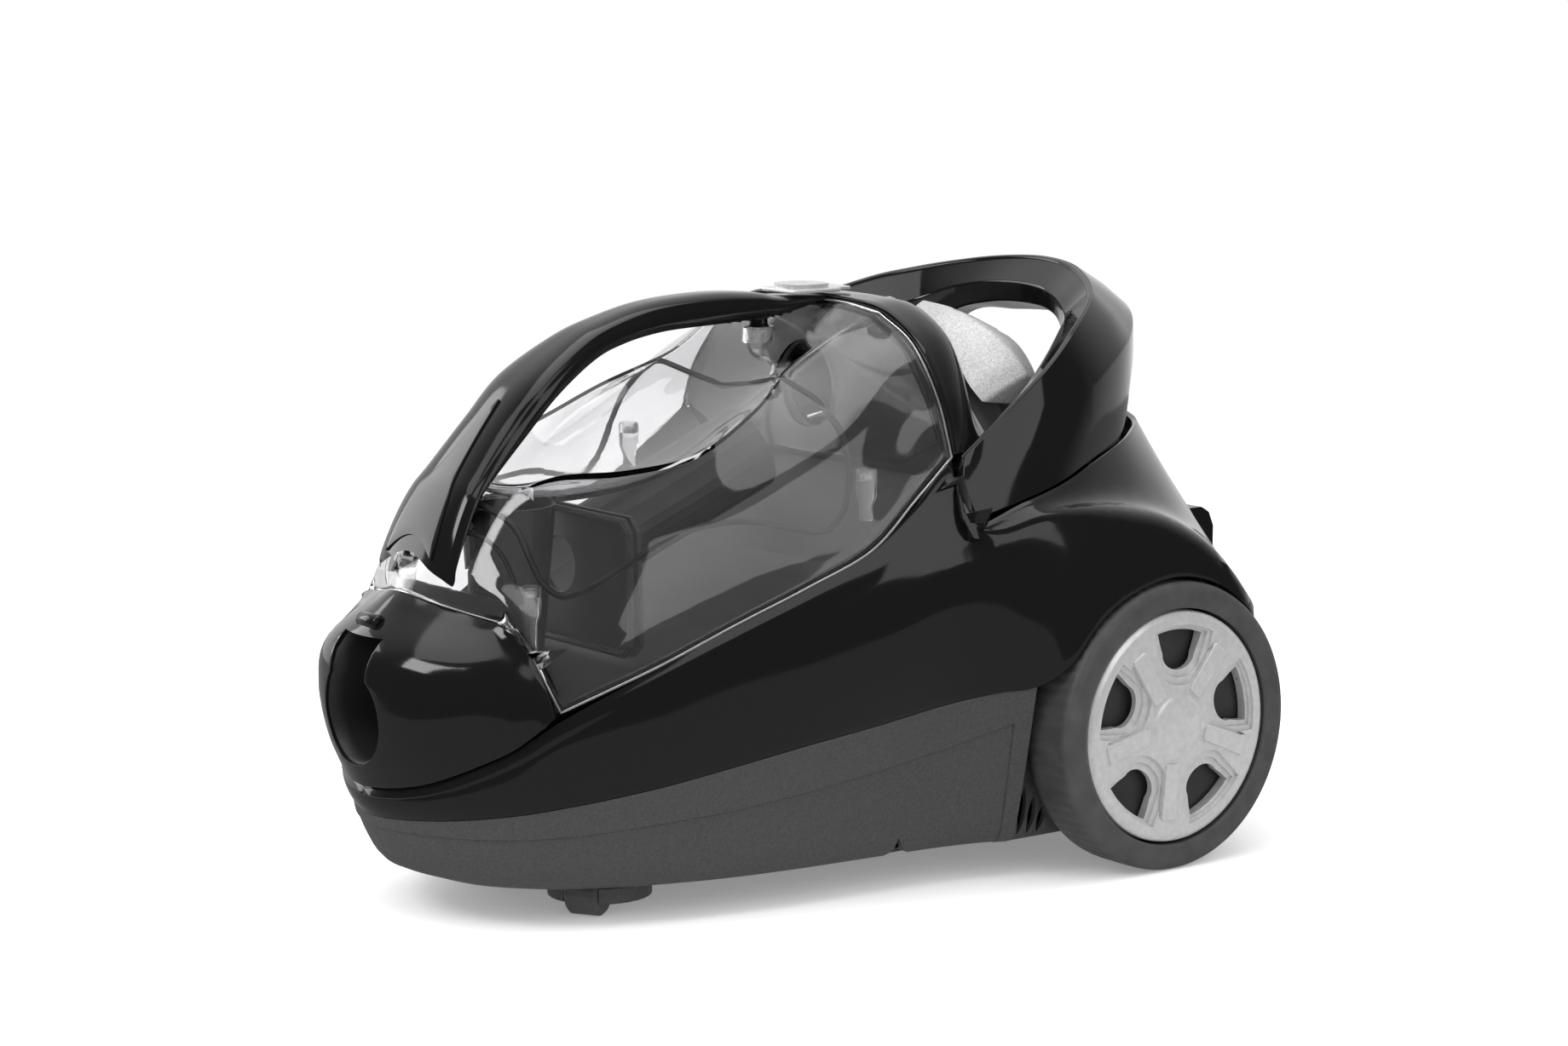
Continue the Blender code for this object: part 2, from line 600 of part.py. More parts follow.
def latch_button(parent):
    body = box("latch_button", (-0.013, -0.002, 0.2660), (0.013, 0.026, 0.2700), "silver", parent=parent)
    hook = box("latch_hook", (-0.008, 0.022, 0.2660), (0.008, 0.035, 0.2678))
    return join(body, hook)


# ---------------------------------------------------------------- wheels and casters
def side_point(side, x, y, z):
    return (side * x, y, z)


def wheel(side, label):
    hub = empty(f"wheel_{label}_axis", side_point(side, 0, AXLE_Y, WHEEL_R))
    flip = side < 0
    inner = TYRE_SIDE_X - WHEEL_W
    outer = TYRE_SIDE_X
    at = (0, 0, 0)
    rim = RIM_R - 0.0006
    tread = ((WHEEL_R - 0.004, outer), (WHEEL_R - 0.0012, outer - 0.0015), (WHEEL_R, outer - 0.005),
             (WHEEL_R, inner + 0.004), (WHEEL_R - 0.003, inner), (RIM_R, inner), (RIM_R, outer))
    turned(f"tyre_{label}", tread, at, "X", "tyre_rubber", 32, True, hub, flip)
    disc = ((rim, outer - 0.010), (rim, inner + 0.001), (0.051, inner + 0.001), (0.051, outer - 0.013),
            (0.012, outer - 0.013), (0.012, inner - 0.0005), (AXLE_R + 0.0004, inner - 0.0005),
            (AXLE_R + 0.0004, outer - 0.010))
    turned(f"wheel_disc_{label}", disc, at, "X", "matte_grey", 24, True, hub, flip)
    back = outer - 0.0095
    cap = ((0, 0.1450), (0.013, 0.1447), (0.030, 0.1435), (0.047, 0.1425), (0.053, 0.1415),
           (rim - 0.0004, 0.1400), (rim - 0.0004, back), (0.050, back), (0.020, 0.1400), (0, 0.1405))
    obj = turned(f"hubcap_{label}", cap, at, "X", "silver", 40, False, hub, flip)
    for k in range(5):
        window = window_cutter(f"window_{label}_{k}", side, math.radians(90 + 72 * k))
        cut(obj, window)
    stub = ((0, 0.1395), (AXLE_R, 0.1395), (AXLE_R, 0.1055), (0.011, 0.1055), (0.011, 0.1030), (0, 0.1030))
    turned(f"axle_{label}", stub, side_point(side, 0, AXLE_Y, WHEEL_R), "X", "steel", 24, False, None, flip)


def window_cutter(name, side, angle):
    """Rounded wedge between two spokes, pointing at the hub."""
    outline = []
    corners = ((0.021, -8), (0.021, 8), (0.036, 17), (0.0445, 16), (0.046, 0), (0.0445, -16), (0.036, -17))
    for radius, spread in corners:
        turn = angle + math.radians(spread)
        outline.append((radius * math.cos(turn), radius * math.sin(turn)))
    bm = bmesh.new()
    face = bm.faces.new([bm.verts.new((side * 0.130, AXLE_Y + y, WHEEL_R + z)) for y, z in outline])
    moved = bmesh.ops.extrude_face_region(bm, geom=[face])
    verts = [g for g in moved["geom"] if isinstance(g, bmesh.types.BMVert)]
    bmesh.ops.translate(bm, verts=verts, vec=(side * 0.020, 0, 0))
    bmesh.ops.recalc_face_normals(bm, faces=bm.faces)
    return from_bmesh(name, bm)


def caster(side, label):
    pivot = (side * CASTER_X, CASTER_Y, 0)
    outer = CASTER_CUP_R
    inner = outer - 0.0015
    flange = outer + 0.003
    cup = ((flange, 0.0218), (flange, 0.0200), (outer, 0.0200), (outer, 0.0172), (inner, 0.0172),
           (inner, 0.0275), (0.0034, 0.0275), (0.0034, 0.0400), (0.0075, 0.0400), (0.0075, 0.0300),
           (outer, 0.0300), (outer, 0.0218))
    turned(f"caster_cup_{label}", cup, pivot, "Z", "matte_grey", 16, True)
    swivel = empty(f"caster_{label}_swivel", pivot)
    swivel.rotation_euler = (0, 0, CASTER_TURN)
    fork = cylinder(f"caster_fork_{label}", (0, 0, 0.0105), 0.0235, 0.007, "Z", "matte_grey", parent=swivel)
    stem = cylinder(f"stem_{label}", (0, 0, 0.0255), 0.0030, 0.025, "Z", sides=20)
    join(fork, child_cutter(stem, swivel))
    half = CASTER_W / 2 + 0.0004
    slot = box(f"fork_slot_{label}", (-half, -0.04, 0.0), (half, -0.0026, 0.030))
    bore = cylinder(f"fork_bore_{label}", (0, -CASTER_TRAIL, CASTER_R), 0.0019, 0.03, "X", sides=16)
    cut(fork, child_cutter(slot, swivel), child_cutter(bore, swivel))
    hub = (0, -CASTER_TRAIL, CASTER_R)
    cylinder(f"caster_pin_{label}", hub, 0.0016, 0.026, "X", "steel", 16, parent=swivel)
    side_x = CASTER_W / 2
    tread_x = side_x - 0.0015
    shoulder = CASTER_R - 0.0015
    roll = ((shoulder, side_x), (CASTER_R, tread_x), (CASTER_R, -tread_x), (shoulder, -side_x),
            (0.0020, -side_x), (0.0020, side_x))
    turned(f"caster_roller_{label}", roll, hub, "X", "tyre_rubber", 24, True, swivel)


def child_cutter(obj, parent):
    obj.parent = parent
    return obj


# ---------------------------------------------------------------- crown, inlet, tail
def pedal(side, label):
    rows = smooth(np.array(PEDAL_STATIONS, dtype=float), 2)
    bm = bmesh.new()
    closed = np.concatenate([rows, rows[:, :1]], axis=1)
    closed[:, :, 0] *= side
    sheet(bm, closed, flip=side < 0)
    bmesh.ops.remove_doubles(bm, verts=bm.verts, dist=1e-6)
    bmesh.ops.holes_fill(bm, edges=bm.edges, sides=8)
    bmesh.ops.recalc_face_normals(bm, faces=bm.faces)
    obj = from_bmesh(f"{label}_pedal", bm, "silver")
    return join(obj, cylinder(f"{label}_pin", (side * PIN_X, PIN_Y, 0.2280), PIN_R, 0.028, "Z", sides=16))


def pedal_spring(side, label):
    turns = 3
    steps = 7
    points = []
    for k in range(turns * steps + 1):
        angle = math.tau * k / steps
        height = 0.2327 + 0.0044 * k / (turns * steps)
        points.append((side * 0.030 + 0.0045 * math.cos(angle), 0.090 + 0.0045 * math.sin(angle), height))
    return wire(f"{label}_spring", points, 0.0005, "steel")


def crown():
    dome = rear_dome()
    for side in (-1, 1):
        hole = (side * PIN_X, PIN_Y, 0.228)
        cut(dome, cylinder(f"pin_hole_{side}", hole, PIN_R + 0.001, 0.04, "Z", sides=20))
    rear_hoop()
    for side, label in ((1, "power"), (-1, "rewind")):
        pedal(side, label)
        pedal_spring(side, label)
    lever_low = (-PIN_X - 0.002, PIN_Y - 0.008, 0.1568)
    lever_high = (-PIN_X + 0.002, PIN_Y + 0.008, 0.2135)
    box("brake_lever", lever_low, lever_high, "inner_grey")
    switch_low = (PIN_X - 0.010, PIN_Y - 0.010, 0.1860)
    switch_high = (PIN_X + 0.010, PIN_Y + 0.010, 0.2090)
    box("power_switch", switch_low, switch_high, "inner_grey", bevel=0.001)
    box("control_board", (0.022, 0.055, 0.1835), (0.078, 0.125, 0.1855), "board_green")


def inlet():
    nose_cover()
    tube("inlet_socket", (0, -0.2011, INLET_Z), INLET_R + 0.0025, INLET_R, 0.0462, "Y", "inner_grey", 32)
    ring = (0, -0.17675, INLET_Z)
    tube("inlet_seal", ring, INLET_R + 0.0015, INLET_R - 0.003, 0.0016, "Y", "seal_rubber", 32)


def bin_cradle():
    """Fixed dished deck that the bin stands on."""
    rim = smooth(np.array([column[0] for column in BIN_STATIONS[2:]], dtype=float), 2)
    edge = rim + np.array((-6.0, 0.0, -9.0))
    low = rim * np.array((0.8, 1.0, 1.0)) + np.array((-6.0, 0.0, -18.0))
    middle = keel_row(low)
    for row in (edge, low, middle):
        row[:, 1] = np.clip(row[:, 1], *BIN_TRAY_Y)
    grid = np.stack([edge, low, middle], axis=1)
    return shell("bin_cradle", [grid], 0.002, "inner_grey", flip=True)


def tail():
    rear = REAR_Y / MM
    profile = ((224.2, 62), (224.4, 93), (226.6, 105), (226.6, 113), (225.2, 126), (214.8, 150),
               (rear - 8, 150), (rear - 3, 147), (rear, 140), (rear, 67), (rear - 3, 62))
    bm = bmesh.new()
    face = bm.faces.new([bm.verts.new((-0.045, y * MM, z * MM)) for y, z in profile])
    moved = bmesh.ops.extrude_face_region(bm, geom=[face])
    verts = [g for g in moved["geom"] if isinstance(g, bmesh.types.BMVert)]
    bmesh.ops.translate(bm, verts=verts, vec=(0.090, 0, 0))
    bmesh.ops.recalc_face_normals(bm, faces=bm.faces)
    grille = from_bmesh("exhaust_grille", bm, "gloss_black")
    for k in range(5):
        z = 0.098 + 0.0095 * k
        cut(grille, box(f"louvre_{k}", (-0.037, 0.205, z), (0.037, 0.245, z + 0.0055)))
    box("exhaust_filter", (-0.038, 0.190, 0.098), (0.038, 0.206, 0.141), "white_filter", bevel=0.001)
    lip = CORD_BUSH_R + 0.003
    bush = ((lip, 0.2250), (lip, 0.2228), (CORD_BUSH_R, 0.2228), (CORD_BUSH_R, 0.2110), (CORD_HOLE_R, 0.2110),
            (CORD_HOLE_R, 0.2250))
    turned("cord_outlet", bush, (CORD_X, 0, CORD_Z), "Y", "seal_rubber", 24, True)


# ---------------------------------------------------------------- motor and cord reel
def motor():
    at = (MOTOR_X, 0, MOTOR_Z)
    case = ((MOTOR_R, 0.150), (MOTOR_R, 0.062), (MOTOR_R - 0.0025, 0.062), (MOTOR_R - 0.0025, 0.1475),
            (0.012, 0.1475), (0.012, 0.150))
    turned("motor_housing", case, at, "Y", "inner_grey", 28, True)
    shroud = ((MOTOR_R, 0.0615), (MOTOR_R, 0.038), (0.018, 0.038), (0.018, 0.0395), (MOTOR_R - 0.002, 0.0395),
              (MOTOR_R - 0.002, 0.0615))
    turned("fan_shroud", shroud, at, "Y", "inner_grey", 28, True)
    for label, y in (("front", 0.054), ("rear", 0.142)):
        tube(f"motor_mount_{label}", (MOTOR_X, y, MOTOR_Z), MOTOR_R + 0.006, MOTOR_R + 0.0004, 0.008, "Y",
             "seal_rubber", 28)
    tube("stator", (MOTOR_X, 0.100, MOTOR_Z), MOTOR_R - 0.003, 0.024, 0.050, "Y", "copper", 28)
    rotor = empty("fan_axis", at)
    tube("armature", (0, 0.100, 0), 0.0225, 0.0044, 0.044, "Y", "copper", 20, rotor)
    impeller = ((0.044, 0.0575), (0.044, 0.0555), (0.014, 0.0450), (0.0044, 0.0450), (0.0044, 0.0575))
    turned("impeller", impeller, (0, 0, 0), "Y", "steel", 24, True, rotor)
    cylinder("motor_shaft", (0, 0.0965, 0), 0.004, 0.105, "Y", "steel", 20, parent=rotor)
    tube("rear_bearing", (MOTOR_X, 0.1485, MOTOR_Z), 0.0116, 0.0046, 0.003, "Y", "steel", 24)
    cylinder("premotor_filter", (MOTOR_X, 0.0295, MOTOR_Z), 0.040, 0.007, "Y", "foam", 32)
    outline = ((0, 258.2), (27, 257.6), (48, 254.5), (71, 242.5), (88, 220), (97.5, 200), (101, 186),
               (101, 166), (105, 120), (101, 60), (96, 25), (0, 25))
    cut(plate("bulkhead", outline, 0.0205, 0.0230, "inner_grey"),
        cylinder("air_hole", (MOTOR_X, 0.022, MOTOR_Z), 0.020, 0.01, "Y"),
        cylinder("bin_hole", (0, 0.022, 0.222), 0.020, 0.01, "Y"))


def cord_reel():
    drum = ((REEL_R, 0.028), (REEL_R, 0.026), (0.024, 0.026), (0.024, -0.026), (REEL_R, -0.026),
            (REEL_R, -0.028), (0.0064, -0.028), (0.0064, 0.028))
    axis = empty("reel_axis", (REEL_X, REEL_Y, REEL_Z))
    turned("reel_drum", drum, (0, 0, 0), "X", "matte_grey", 24, True, axis)
    box("reel_bracket", (-0.0185, 0.070, 0.0202), (-0.0155, 0.155, 0.140), "steel")
    stub = ((0, 0.0328), (0.012, 0.0328), (0.012, 0.0300), (0.006, 0.0300), (0.006, -0.0410), (0, -0.0410))
    turned("reel_axle", stub, (REEL_X, REEL_Y, REEL_Z), "X", "steel", 24)
    tube("rewind_spring_case", (REEL_X - 0.0350, REEL_Y, REEL_Z), 0.030, 0.0063, 0.009, "X", "inner_grey", 32)


# ---------------------------------------------------------------- assembly
def build():
    lower_shell()
    upper_shell()
    inlet()
    crown()
    tail()
    motor()
    cord_reel()
    bin_cradle()
    lift = empty("bin_lift", (0, 0, 0))
    bin_cover(lift)
    bin_tray(lift)
    bin_inlet_panel(lift)
    bin_rear_panel(lift)
    bin_insides(lift)
    carry_handle(lift)
    latch_button(lift)
    for side, label in ((1, "left"), (-1, "right")):
        wheel(side, label)
        caster(side, label)


build()
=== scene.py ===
"""Looks of the canister vacuum cleaner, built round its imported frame.

Tables of stations are in millimetres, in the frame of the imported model:
the nose points to -Y, the driving wheels are at +Y, the floor is Z = 0.
"""
import math
from contextlib import contextmanager

import bmesh
import bpy
import numpy as np
from mathutils import Matrix, Vector


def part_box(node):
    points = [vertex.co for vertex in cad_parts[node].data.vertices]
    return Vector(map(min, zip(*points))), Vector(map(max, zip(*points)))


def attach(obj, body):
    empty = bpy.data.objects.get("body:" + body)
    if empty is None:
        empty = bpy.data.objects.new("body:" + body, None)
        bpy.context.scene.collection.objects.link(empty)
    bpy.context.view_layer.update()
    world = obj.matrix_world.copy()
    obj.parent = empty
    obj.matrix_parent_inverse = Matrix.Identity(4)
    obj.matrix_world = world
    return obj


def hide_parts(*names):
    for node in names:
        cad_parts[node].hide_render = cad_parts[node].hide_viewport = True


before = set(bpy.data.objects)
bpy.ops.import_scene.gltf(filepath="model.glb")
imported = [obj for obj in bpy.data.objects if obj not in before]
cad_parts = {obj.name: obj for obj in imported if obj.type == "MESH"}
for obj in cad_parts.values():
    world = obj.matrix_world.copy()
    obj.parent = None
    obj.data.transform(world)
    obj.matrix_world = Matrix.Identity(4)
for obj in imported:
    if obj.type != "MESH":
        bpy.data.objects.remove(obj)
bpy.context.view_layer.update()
MM = 0.001


def corners(node):
    """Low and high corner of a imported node, in millimetres."""
    return [[value / MM for value in corner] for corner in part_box(node)]


def centre(node):
    """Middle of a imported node's box, in millimetres."""
    return [(low + high) / 2 for low, high in zip(*corners(node))]


# ---------------------------------------------------------------- sizes, from the frame where it can
TYRE_LOW, TYRE_HIGH = corners("tyre_left")
AXLE_Y = centre("tyre_left")[1]
WHEEL_R = (TYRE_HIGH[2] - TYRE_LOW[2]) / 2
WHEEL_FACE = TYRE_HIGH[0]
WHEEL_BACK = TYRE_LOW[0]
CAP_LOW, CAP_HIGH = corners("hubcap_left")
CAP_R = (CAP_HIGH[2] - CAP_LOW[2]) / 2
INLET_Z = centre("inlet_socket")[2]
INLET_R = 22.5
SHELL_T = 2.5
BIN_T = 2.2
FLOOR_EDGE = 17
WELD = 0.002
SIDES = ((1, "left"), (-1, "right"))
MIRROR = np.array((-1.0, 1.0, 1.0))

# Half of the hull, one column per station from the nose to the tail.
# Each column: floor edge, knuckle, side and seam of the lower shell.
LOWER_STATIONS = (
    ((0, -196, 17), (0, -213, 24), (0, -221, 37), (0, -224, 48)),
    ((30, -190, 17), (33, -202, 23), (34, -211, 38), (34.5, -214, 50)),
    ((53, -172, 17), (58, -182, 23), (61, -190, 38), (62, -193, 54)),
    ((68, -150, 17), (73, -158, 23), (76, -164, 38), (77, -167, 58)),
    ((79, -122, 17), (84, -127, 23), (87, -130, 40), (88, -132, 63)),
    ((87, -92, 17), (92, -94, 23), (94, -95, 43), (95.5, -97, 69)),
    ((92, -58, 17), (97, -59, 23), (99, -60, 47), (101, -61, 75)),
    ((95, -22, 17), (100, -22, 23), (102, -23, 50), (104.5, -24, 80)),
    ((98, 14, 17), (103, 13, 23), (105.5, 12, 53), (109, 12, 86)),
    ((102, 36, 17), (108, 35, 23), (113, 34, 55), (117.3, 33, 90)),
    ((107, 50, 17), (113, 50, 23), (120.5, 50, 55), (128, 50, 93)),
)
# Height of the side panel's upper edge at each of those stations.
PANEL_TOP = (43, 43, 43.5, 44.5, 47, 49.5, 53.5, 58.5, 65, 72, 79)
LOWER_TAIL = (
    ((106, 197, 17), (107, 198, 23), (108, 199, 55), (108.5, 199, 92)),
    ((80, 205, 17), (84, 209, 23), (86, 212, 55), (87, 213, 93)),
    ((45, 209, 17), (46, 215, 23), (47, 219, 55), (47.5, 220.5, 93)),
    ((0, 210, 17), (0, 217, 23), (0, 221, 55), (0, 222.5, 93)),
)
# Columns of the upper shell: seam edge, belt, crest, valley and upper edge.
UPPER_STATIONS = (
    ((0, -224.5, 48.4), (0, -226.5, 52), (0, -227.5, 56), (0, -227.5, 59), (0, -226.5, 62)),
    ((34.5, -214.5, 50.4), (35, -217, 55), (35.5, -218, 59), (35.5, -217.5, 63), (35, -216.5, 67)),
    ((62, -193.5, 54.4), (63.5, -196, 61), (64.5, -197, 68), (64.5, -197, 75), (64, -196, 81)),
    ((77, -167.5, 58.4), (79, -170, 68), (80, -172, 78), (80.5, -173.5, 88), (80, -174, 98)),
    ((88, -132, 63.4), (91, -132, 77), (93, -132, 91), (93.5, -132, 105), (92, -132, 118)),
    ((95.5, -97, 69.4), (99, -97, 85), (101, -97, 101), (101.5, -97, 118), (99.5, -97, 133)),
    ((101, -61, 75.4), (105, -61, 93), (107.5, -61, 111), (107.5, -61, 130), (105, -61, 147)),
    ((104.5, -24, 80.4), (110, -26, 100), (113, -28, 122), (112, -29, 142), (108, -30, 160)),
    ((109, 12, 86.4), (116, 6, 112), (119, 2, 140), (114, -2, 161), (107, -4, 179)),
    ((118, 33, 90.4), (124, 26, 118), (124.5, 18, 152), (117, 17, 171), (105.5, 16, 195)),
)
FENDER_STATIONS = (
    ((129, 50, 93.4), (131, 41, 125), (129, 31, 160), (124, 24, 166), (119, 14, 169)),
    ((138.5, 62.5, 104.5), (137, 58, 140), (131.5, 52, 168.5), (126, 50, 173), (121, 46, 177)),
    ((140, 81, 124.5), (138.5, 78, 148), (133, 75, 171), (124, 74, 175), (118, 72, 183)),
    ((140.5, 103, 135), (139, 102, 151), (134, 101, 168.5), (118, 102, 175), (110, 100, 191)),
    ((140.5, 126, 138), (139.5, 126, 149), (135, 126, 162.5), (112, 129, 171), (98, 127, 197)),
    ((140.5, 150, 132), (139.5, 151, 139), (136, 150, 148.5), (104, 154, 164), (82, 148, 200)),
    ((138.5, 173, 116), (138, 173, 121), (133, 171, 129), (93, 177, 154), (62, 167, 201)),
    ((110, 198, 101), (111, 198, 109), (105, 195, 120), (75, 196, 149), (38, 180, 202)),
    ((60, 217.5, 93.4), (61, 219, 105), (60, 217, 124), (44, 207, 150), (18, 187, 202)),
    ((0, 222.9, 93.4), (0, 225, 105), (0, 223, 126), (0, 212, 152), (0, 189, 202)),
)
# Nose cover: rows from its lower edge up, columns from the middle to the side.
NOSE_ROWS = (
    ((0, -227, 63), (34.5, -217, 68), (62.5, -197, 82), (73, -187, 91), (80, -179, 99.5)),
    ((0, -231.6, 78), (34, -223.6, 81), (62, -204, 93), (72.5, -191, 100), (78, -180.5, 106)),
    ((0, -233.6, 99), (33, -227.6, 101), (60, -209, 106), (70, -194, 110), (74.5, -182, 113)),
    ((0, -231.5, 122), (31, -224.4, 121), (54, -208, 120), (63.5, -197, 121), (69, -184, 122)),
    ((0, -208, 144.6), (20, -203, 141), (40, -195.5, 138), (52, -191.3, 136.4), (63, -188, 134.4)),
)
# Clear bin cover: columns from the nose to the rear; rows rim, wall, crease,
# scoop edge, scoop wall and scoop middle.
BIN_STATIONS = (
    ((62, -186.6, 136), (50, -190.6, 138), (37, -195.6, 140),
     (22, -201.5, 142.6), (11, -205.6, 145), (0, -207, 146)),
    ((70, -181, 118.3), (63, -186, 136), (52, -188, 149),
     (33, -194, 156), (16, -197, 160), (0, -198, 162)),
    ((79.2, -176, 100.8), (77, -174, 121), (68, -170, 144),
     (36, -174.5, 186), (20, -177, 190), (0, -178, 192)),
    ((86, -155, 109.5), (83.5, -153, 130), (76.5, -153, 152),
     (46, -157, 197.5), (26, -162, 192), (0, -164, 190)),
    ((92, -131, 119), (89.5, -129, 141), (82.5, -128, 164),
     (62, -129, 200), (35, -133, 187), (0, -136, 182)),
    ((99, -96, 134), (95.5, -96, 156), (87.5, -95, 179),
     (68.5, -96, 205.5), (38, -96, 194), (0, -96, 191)),
    ((104.5, -60, 148), (99.5, -60, 173), (89.5, -60, 199),
     (62, -60, 222), (34, -60, 212), (0, -60, 209)),
    ((107.5, -29, 161), (101, -29, 190), (87.5, -28, 219),
     (47, -30, 237), (26, -30, 232), (0, -30, 230)),
    ((106.5, -4, 181), (97, -4, 209), (81, -3, 236),
     (50, -4, 251), (27, -4, 252), (0, -4, 252)),
    ((104, 18.6, 198.2), (93.5, 18.6, 224), (75, 18.6, 247),
     (50, 18.6, 259.5), (27, 18.6, 262), (0, 18.6, 262.5)),
)
# Crown behind the bin: columns from the rim to the middle; rows front edge,
# band, pedal shelf, shelf rear and deck front.
DOME_STATIONS = (
    ((103, 19.5, 199), (101, 28, 199.5), (98, 44, 199.5), (83, 78, 198), (72, 94, 197), (84, 110, 193.5)),
    ((93.5, 19.5, 224), (92.5, 33, 222), (88, 48, 203), (78, 86, 201), (62, 99, 199), (80, 126, 194)),
    ((75, 19.5, 247), (74.5, 39, 245), (71, 50.5, 216), (64, 91, 208), (52, 103, 202), (70, 147, 197)),
    ((50, 19.5, 259.5), (50, 42, 257.5), (49, 54, 234.5), (44, 95, 219), (37, 107, 204), (52, 163, 199.5)),
    ((27, 19.5, 262), (27, 44, 260), (27, 57, 241), (24, 98, 224), (19, 110, 205), (28, 178, 201)),
    ((0, 19.5, 262.5), (0, 45, 260.5), (0, 59, 244), (0, 98, 225), (0, 111, 205), (0, 185, 201.5)),
)
# Pedal on the crown: one row per section outward; front foot, ridge, rear top, rear foot.
PEDAL_STATIONS = (
    ((12, 62, 251), (12, 74.5, 259.5), (12, 98, 250), (12, 101, 236)),
    ((35, 61, 248), (35, 75.5, 257), (35, 98, 247.5), (35, 100, 234)),
    ((56, 57, 238), (56, 78, 249.5), (56, 97, 241), (56, 98, 228)),
    ((71, 54, 226), (70, 82, 239), (70, 95, 231), (70, 95, 219)),
    ((80, 56, 217.5), (79, 84, 229), (78, 91, 224), (78, 90, 213)),
)
# Rear hoop sections: ridge, inner top, inner bottom, outer bottom, outer shoulder.
HOOP_STATIONS = (
    ((106.2, 24, 198.4), (103.8, 24, 198), (104, 19, 183), (118.6, 12.6, 169), (112.5, 17.2, 185.6)),
    ((109.5, 48, 219), (104, 47, 215), (103, 48, 194), (120.5, 46, 177.5), (116, 48, 199)),
    ((109, 72, 237), (97, 69, 228), (96, 70, 203), (117, 72, 183.4), (116, 73, 213)),
    ((100, 95, 252), (83, 92, 239), (81, 93, 210), (109, 99, 191.4), (112, 98, 228)),
    ((84, 118, 262), (67, 113, 247), (66, 114, 216), (96.5, 126, 197.6), (100, 124, 240)),
    ((68, 132, 267), (56, 126, 252), (54, 127, 230), (79, 147, 216), (84, 144, 246)),
    ((50, 143.5, 271), (42, 134, 258), (41, 136, 246), (58, 163, 243), (62, 163, 253)),
    ((27, 154, 274.5), (23, 141, 262), (22, 143, 252), (31, 171, 246), (34, 177, 257)),
    ((0, 158, 276), (0, 143, 263.5), (0, 145, 253.5), (0, 174, 247), (0, 182, 258)),
)
# Carrying handle: y and z of its top line, half width, thickness, curl of its edges.
HANDLE_STATIONS = (
    (-205, 160, 31, 3.5, 5), (-198.5, 177.5, 29, 4.5, 5.5), (-191, 191, 26.8, 5, 5.5),
    (-182.4, 201, 24.5, 6.5, 5), (-164.7, 220.6, 22, 10, 4), (-145.8, 238.6, 21.6, 10.6, 3),
    (-120.5, 253.8, 16.7, 10.8, 2.2), (-100.7, 261.2, 14, 11.2, 2), (-76, 267, 13, 12.4, 2),
    (-45, 269.2, 13, 13, 2), (-20, 268, 13.2, 11, 1.5), (-6, 265.6, 13.2, 7.5, 1),
    (18, 264.6, 12, 1.8, 0.2),
)
HANDLE_FOOT = (-205.5, 151.5, 31.5, 3, 5)
HANDLE_STEPS = 8


# ---------------------------------------------------------------- node materials
def set_range(node, *limits):
    """Set what a map range node reads and gives: from, to, low and high."""
    for socket, value in zip(("From Min", "From Max", "To Min", "To Max"), limits):
        node.inputs[socket].default_value = value


